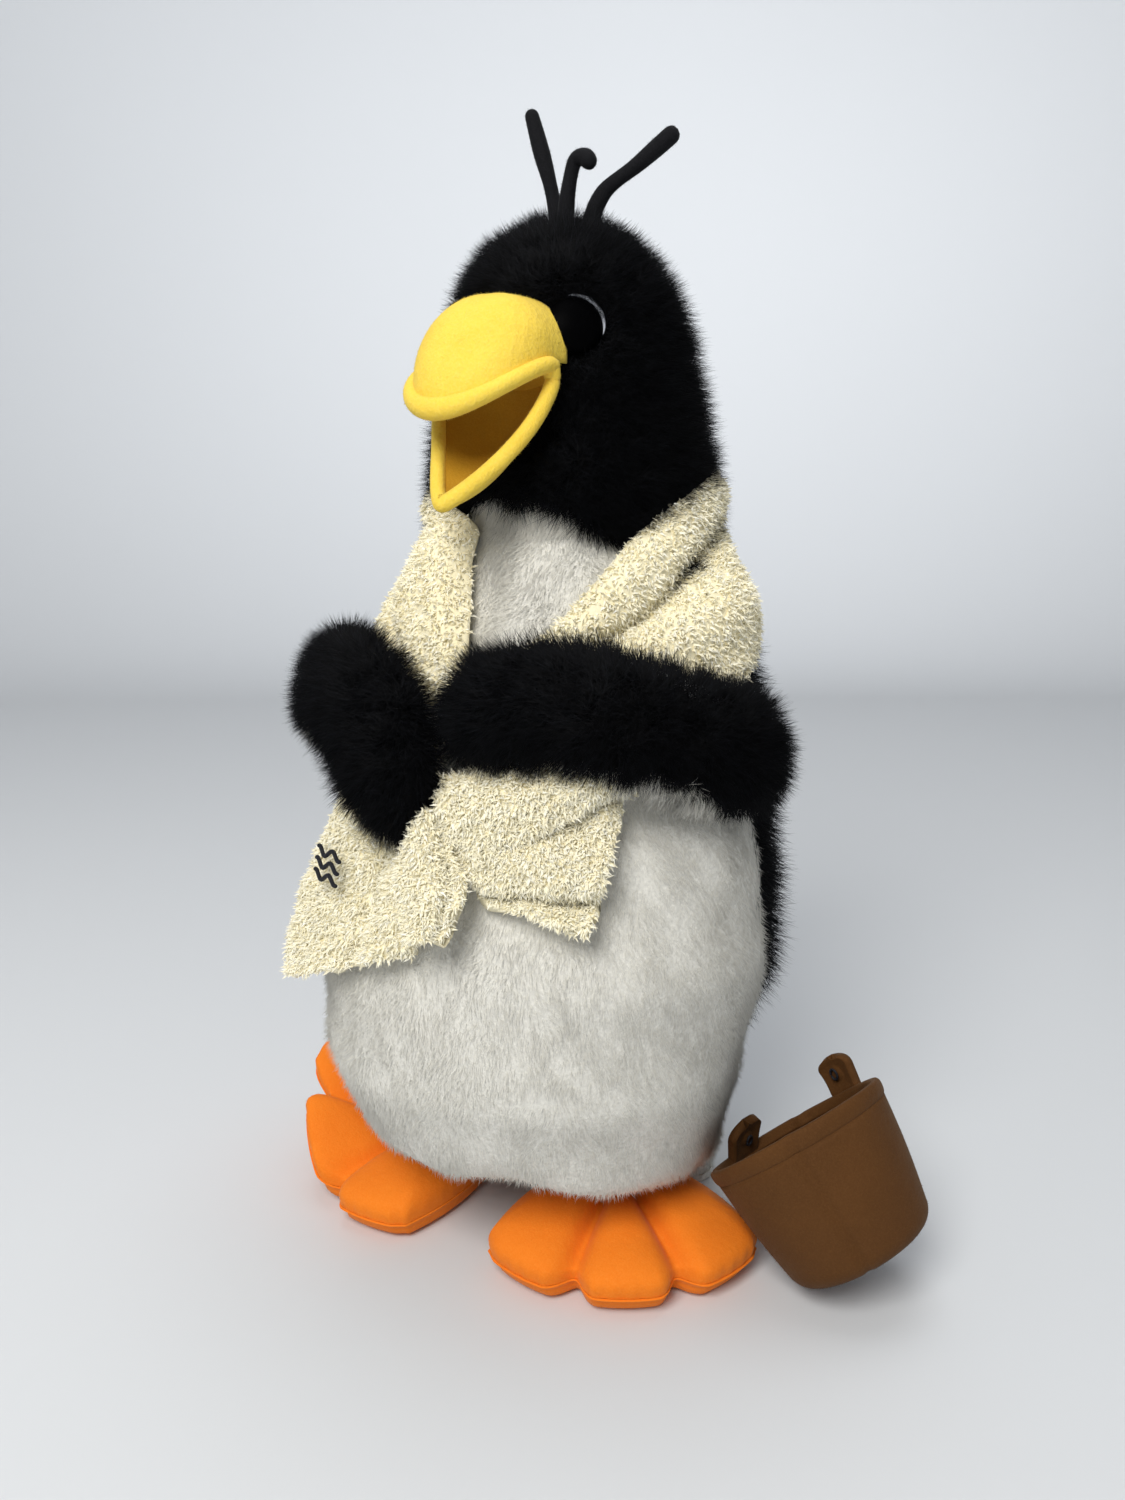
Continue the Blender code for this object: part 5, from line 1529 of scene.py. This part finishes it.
@dataclass
class Bucket:
    """A tapered plush bucket: wall with side seams, a stitched hem, a padded base and two lugs."""

    wall: float = 0.0026
    hem: float = 0.0055
    rim_radius: float = 0.0372
    base_radius: float = 0.0287
    squash: float = 0.03
    sag: float = 0.0045
    sag_turn: float = 2.2

    def __post_init__(self) -> None:
        """Finds the bucket's axis from its base and hem in the frame."""
        base, hem = middle_of("bucket_base"), middle_of("bucket_hem")
        self.axis = unit(hem - base)
        self.across = unit(np.cross(np.array([0.0, 1.0, 0.0]), self.axis))
        self.beside = np.cross(self.axis, self.across)
        self.foot = base - self.axis * 0.0015
        self.height = float(np.linalg.norm(hem - base)) + 0.004

    def radius(self, level: Array, angle: Array) -> Array:
        """The wall's outside: a straight taper, a little oval, bellied between seams and pinched at four."""
        share = level / self.height
        plain = self.base_radius + (self.rim_radius - self.base_radius) * share
        soft = 1 + self.squash * np.cos(2 * angle + 0.6) * share + 0.012 * np.sin(3 * angle + 1.0) * share
        belly = 0.0010 * np.sin(math.pi * np.clip(share, 0, 1))
        seams = -0.0013 * sum(bump_at(np.cos(angle - k * math.pi / 2 - 0.5), 1.0, 0.0022) for k in range(4))
        return plain * soft + belly + seams

    def place(self, radius: Array, level: Array, angle: Array) -> Array:
        """From the bucket's own radius, level and angle to the frame."""
        out = np.cos(angle)[..., None] * self.across + np.sin(angle)[..., None] * self.beside
        return self.foot + radius[..., None] * out + (level - self.drop(level, angle))[..., None] * self.axis

    def drop(self, level: Array, angle: Array) -> Array:
        """How far the mouth sags on one side and stands up on the other: a cosine that fades to the base."""
        return self.sag * np.cos(angle - self.sag_turn) * np.clip(level / self.height, 0, 1) ** 3

    def build(self) -> None:
        """Wall, base, hem, seams and lugs."""
        angle = np.linspace(0, 2 * math.pi, 160, endpoint=False)[None, :]
        top = self.height
        low = 0.0034
        up = np.concatenate([np.linspace(0.0003, 0.0058, 8), np.linspace(0.0075, top - self.hem, 20)])
        down = np.linspace(top - self.hem, low, 28)
        level = np.concatenate([up, down])[:, None] + 0 * angle
        under = np.clip(1 - up / 0.006, 0, 1)
        inset = np.concatenate([0.0045 * (1 - np.sqrt(1 - under**2)), 0 * down + self.wall])[:, None]
        wall = Patch(self.place(self.radius(level, angle) - inset, level, angle), wrap=True,
                     centre=self.foot + self.axis * top / 2)
        outside = Patch(wall.points[:28], wrap=True)
        obj = self.closed_band("bucket_velour_wall", wall)
        finished(obj, Finish.BROWN_VELOUR, "bucket", "brown_velour", "bucket_wall")
        self.base(angle)
        self.rim(angle)
        self.lugs()
        roots = outside.scatter(12000, np.random.default_rng(130))
        fuzz = grow("bucket_fuzz", roots, -UP + 0 * roots.points, FUZZ, 131)
        finished(fuzz, Finish.BROWN_FUZZ, "bucket", "brown_velour")

    def closed_band(self, name: str, patch: Patch) -> bpy.types.Object:
        """A ring whose rows come back to their start: the first row is joined to the last."""
        points = np.concatenate([patch.points, patch.points[:1]])
        loop = Patch(np.swapaxes(points[:-1], 0, 1), wrap=True)
        rows = np.concatenate([loop.points, loop.points[:1]])
        band = Patch(rows, wrap=True)
        obj = band.build(name)
        merge(obj)
        return obj

    def base(self, angle: Array) -> None:
        """A padded disc with a rounded edge."""
        t = np.linspace(0.02, math.pi - 0.02, 22)[:, None]
        radius = (self.radius(0 * angle + 0.002, angle) - 0.0034) * np.sin(t) ** 0.25
        level = 0.0016 + 0.0016 * np.cos(t) + 0 * angle
        middle = self.foot + self.axis * 0.0016
        patch = Patch(self.place(radius, level, angle + 0 * t), wrap=True, centre=middle)
        obj = patch.build("bucket_velour_base", ends=(True, True))
        finished(obj, Finish.BROWN_VELOUR, "bucket", "brown_velour", "bucket_base")

    def rim(self, angle: Array) -> None:
        """The hem: a folded band, its section a rounded oblong, with a line of stitches pressed in."""
        t = np.linspace(0, 2 * math.pi, 24, endpoint=False)[:, None]
        middle = self.height - self.hem / 2
        half = self.wall / 2 + 0.0007
        across = half * np.sign(np.cos(t)) * np.abs(np.cos(t)) ** 0.6
        upright = (self.hem / 2 + 0.0002) * np.sign(np.sin(t)) * np.abs(np.sin(t)) ** 0.7
        stitch = -0.0003 * bump_at(upright, -self.hem * 0.3, 0.0006) * (0.6 + 0.4 * np.sin(angle * 110))
        level = middle + upright + 0 * angle
        radius = self.radius(level, angle) - self.wall / 2 + across + stitch
        points = self.place(radius, level, angle + 0 * t)
        rows = np.concatenate([points, points[:1]])
        obj = self.closed_band("bucket_velour_hem", Patch(rows[:-1], wrap=True))
        finished(obj, Finish.BROWN_VELOUR, "bucket", "brown_velour", "bucket_hem")

    def lugs(self) -> None:
        """Round-topped tabs: each a flat folded strip that stands on the hem, dented where its hole is, with a
        dark ring round the dent on each face as painted shade of the hole.
        """
        for word, turn, lean in (("near", 347.0, 44.0), ("far", 258.0, -6.0)):
            a, tilt = math.radians(turn), math.radians(lean)
            out = -(math.cos(a) * self.across) - math.sin(a) * self.beside
            along = np.cross(self.axis, out)
            rise = math.cos(tilt) * self.axis - math.sin(tilt) * out
            face = np.cross(along, rise)
            foot = self.foot + out * (self.rim_radius - 0.0016) + self.axis * (self.height - 0.002)
            foot = foot - self.axis * self.drop(self.height, a + math.pi)
            half, tall = (0.0098, 0.0178) if word == "near" else (0.0092, 0.0168)
            level = np.linspace(0, 1, 40)[:, None] * tall
            share = np.linspace(-1, 1, 25)[None, :]
            round_top = np.clip((level - (tall - 0.0060)) / 0.0060, 0, 1)
            width = half * (0.80 + 0.20 * level / tall) * np.sqrt(np.clip(1 - round_top**2.4, 0, 1))
            bulge = 0.0014 * (1 - share**2) * np.sin(math.pi * np.clip(level / tall, 0.15, 0.95))
            hole = 0.0012 * np.exp(-((width * share / 0.0020) ** 2 + ((level - 0.0095) / 0.0024) ** 2))
            sheet = foot + (width * share)[..., None] * along + level[..., None] * rise
            front = Patch(sheet + (bulge - hole + 0.0014)[..., None] * face, centre=foot - face * 0.05)
            obj = thicken(front.build(f"{word}_lug_velour"), 0.0036, -1.0)
            finished(obj, Finish.BROWN_VELOUR, "bucket", "brown_velour", f"{word}_bucket_lug")
            t = np.linspace(0, 2 * math.pi, 40)
            centre = foot + rise * 0.0095
            # Each ring is drawn in the black thread finish as painted shade of the hole, which is only a dent in
            # the tab.
            for name, depth in (("eyelet", 0.0020), ("eyelet_back", -0.0028)):
                loop = centre + face * depth + 0.0015 * np.cos(t)[:, None] * along
                loop = loop + 0.0021 * np.sin(t)[:, None] * rise
                eyelet = tube(f"{word}_lug_{name}", loop, 0.0005, 0.0005, 10)
                finished(eyelet, Finish.THREAD, "bucket", "brown_velour")


def merge(obj: bpy.types.Object) -> None:
    """Joins points that lie on each other and turns the faces outwards."""
    shape = bmesh.new()
    shape.from_mesh(obj.data)
    bmesh.ops.remove_doubles(shape, verts=shape.verts, dist=1e-6)
    bmesh.ops.recalc_face_normals(shape, faces=shape.faces)
    shape.to_mesh(obj.data)
    shape.free()


# ---------------------------------------------------------------- inside and studio


def dress_inside() -> None:
    """Gives the CAD nodes that stay their own materials."""
    for name, obj in frame["nodes"].items():
        if obj.hide_render:
            continue
        if "stuffing" in name or name == "pellet_bag":
            WARDROBE.dress(obj, Finish.FILLING)
        elif "washer" in name:
            WARDROBE.dress(obj, Finish.PALE_PLASTIC)
        elif name == "base_panel":
            give(obj, "white", np.ones(len(obj.data.vertices)))
            WARDROBE.dress(obj, Finish.SKIN)
        else:
            LOG.warning("CAD node still shown: %s", name)


@dataclass(frozen=True)
class Lamp:
    """A round soft light: its azimuth, distance and height, its size and power, and what it points at."""

    name: str
    place: tuple[float, float, float]
    aim: tuple[float, float, float]
    size: float
    power: float
    colour: Colour

    def build(self, middle: Vector) -> None:
        """Adds it, with its place and its aim measured from the toy's upright axis."""
        data = bpy.data.lights.new(self.name, "AREA")
        data.shape = "DISK"
        data.size = self.size
        data.energy = self.power
        data.color = self.colour
        lamp = bpy.data.objects.new(self.name, data)
        start, end = (middle + away(a) * out + Vector((0, 0, z)) for a, out, z in (self.place, self.aim))
        lamp.location = start
        lamp.rotation_euler = (end - start).to_track_quat("-Z", "Y").to_euler()
        bpy.context.scene.collection.objects.link(lamp)


def away(azimuth: float) -> Vector:
    """The level direction from the toy to the camera at an azimuth."""
    a = math.radians(azimuth)
    return Vector((math.sin(a), -math.cos(a), 0.0))


@dataclass
class Studio:
    """The camera, the pale sweep and the lights."""

    figure: Figure
    azimuth: float = 34.0
    distance: float = 0.50
    height: float = 0.31
    pitch: float = 13.0
    lens: float = 30.0

    def build(self) -> None:
        """Camera first, then floor and lights."""
        self.camera()
        self.sweep()
        self.lights()

    def camera(self) -> None:
        """Three-quarter view, looking a little down."""
        data = bpy.data.cameras.new("view")
        data.sensor_fit = "VERTICAL"
        data.sensor_height = 36.0
        data.lens = self.lens
        data.shift_x = -0.005
        data.clip_start = 0.01
        camera = bpy.data.objects.new("view", data)
        axis = Vector((0.0, self.figure.axis_y, 0.0))
        camera.location = axis + away(self.azimuth) * self.distance + Vector((0, 0, self.height))
        camera.rotation_euler = (math.radians(90 - self.pitch), 0.0, math.radians(self.azimuth))
        bpy.context.scene.collection.objects.link(camera)
        bpy.context.scene.camera = camera

    def sweep(self) -> None:
        """A round floor that rises to a wall: level out to a radius, then a quarter of a superellipse."""
        quarter = np.linspace(0, math.pi / 2, 24)
        radius = np.concatenate([np.linspace(0.02, 1.5, 12), 1.5 + 1.5 * np.sin(quarter)[1:]])
        rise = np.concatenate([np.zeros(12), 2.6 * (1 - np.cos(quarter))[1:]])
        angle = np.linspace(0, 2 * math.pi, 96, endpoint=False)
        ring = np.stack([np.cos(angle), np.sin(angle), 0 * angle], axis=-1)
        points = radius[:, None, None] * ring[None] + rise[:, None, None] * UP - 0.0004 * UP
        patch = Patch(points, wrap=True, centre=np.array([0, 0, -5.0]))
        floor = patch.build("studio_sweep", ends=(True, False))
        WARDROBE.dress(floor, Finish.STUDIO)

    def lights(self) -> None:
        """A broad key from the camera's upper left, a soft top light and an even pale sky."""
        world = bpy.data.worlds.new("studio")
        bpy.context.scene.world = world
        world.use_nodes = True
        background = world.node_tree.nodes["Background"]
        background.inputs["Color"].default_value = (0.95, 0.975, 1.0, 1.0)
        background.inputs["Strength"].default_value = 0.32
        middle = Vector((0.0, self.figure.axis_y, 0.0))
        toy = (0.0, 0.0, 0.2)
        Lamp("key", (14.0, 1.15, 1.20), toy, 0.8, 19.0, (1.0, 0.985, 0.95)).build(middle)
        Lamp("top", (200.0, 0.25, 1.70), toy, 1.1, 6.5, (0.96, 0.98, 1.0)).build(middle)
        Lamp("wall", (206.0, 0.9, 1.45), (212.0, 2.6, 1.75), 0.7, 27.0, (0.97, 0.985, 1.0)).build(middle)
        bpy.context.scene.view_settings.view_transform = "Standard"


LEFT_WING = (
    (90, 0.207, 0.80, -0.002), (76, 0.209, 1.04, 0.0), (62, 0.213, 1.05, 0.003), (47, 0.219, 1.00, 0.009),
    (34, 0.224, 0.95, 0.010), (21, 0.223, 0.88, 0.010), (10, 0.217, 0.66, 0.010),
)
RIGHT_WING = (
    (-88, 0.211, 0.66, -0.002), (-73, 0.211, 0.94, 0.0), (-58, 0.215, 1.0, 0.002), (-41, 0.220, 1.0, 0.007),
    (-25, 0.221, 1.0, 0.009), (-12, 0.214, 1.0, 0.009), (-4, 0.200, 0.92, 0.009), (1, 0.183, 0.60, 0.009),
)


def main() -> None:
    """Builds every sub-assembly in order."""
    logging.basicConfig(level=logging.INFO, format="%(message)s")
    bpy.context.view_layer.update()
    figure = Figure()
    Studio(figure).build()
    Trunk(figure).build()
    Head(figure).build()
    for side in (1, -1):
        Eye(figure, side).build()
    Beak(figure).build()
    Crest(figure).build()
    Wing(figure, Side.LEFT, LEFT_WING).build()
    Wing(figure, Side.RIGHT, RIGHT_WING).build()
    Foot(Side.LEFT, (0.035, -0.016), 35.0, 0.0, figure).build()
    Foot(Side.RIGHT, (-0.050, -0.021), -37.0, 0.95, figure).build()
    Towel(figure).build()
    Tail(figure).build()
    Bucket().build()
    dress_inside()


if __name__ == "__main__":
    main()
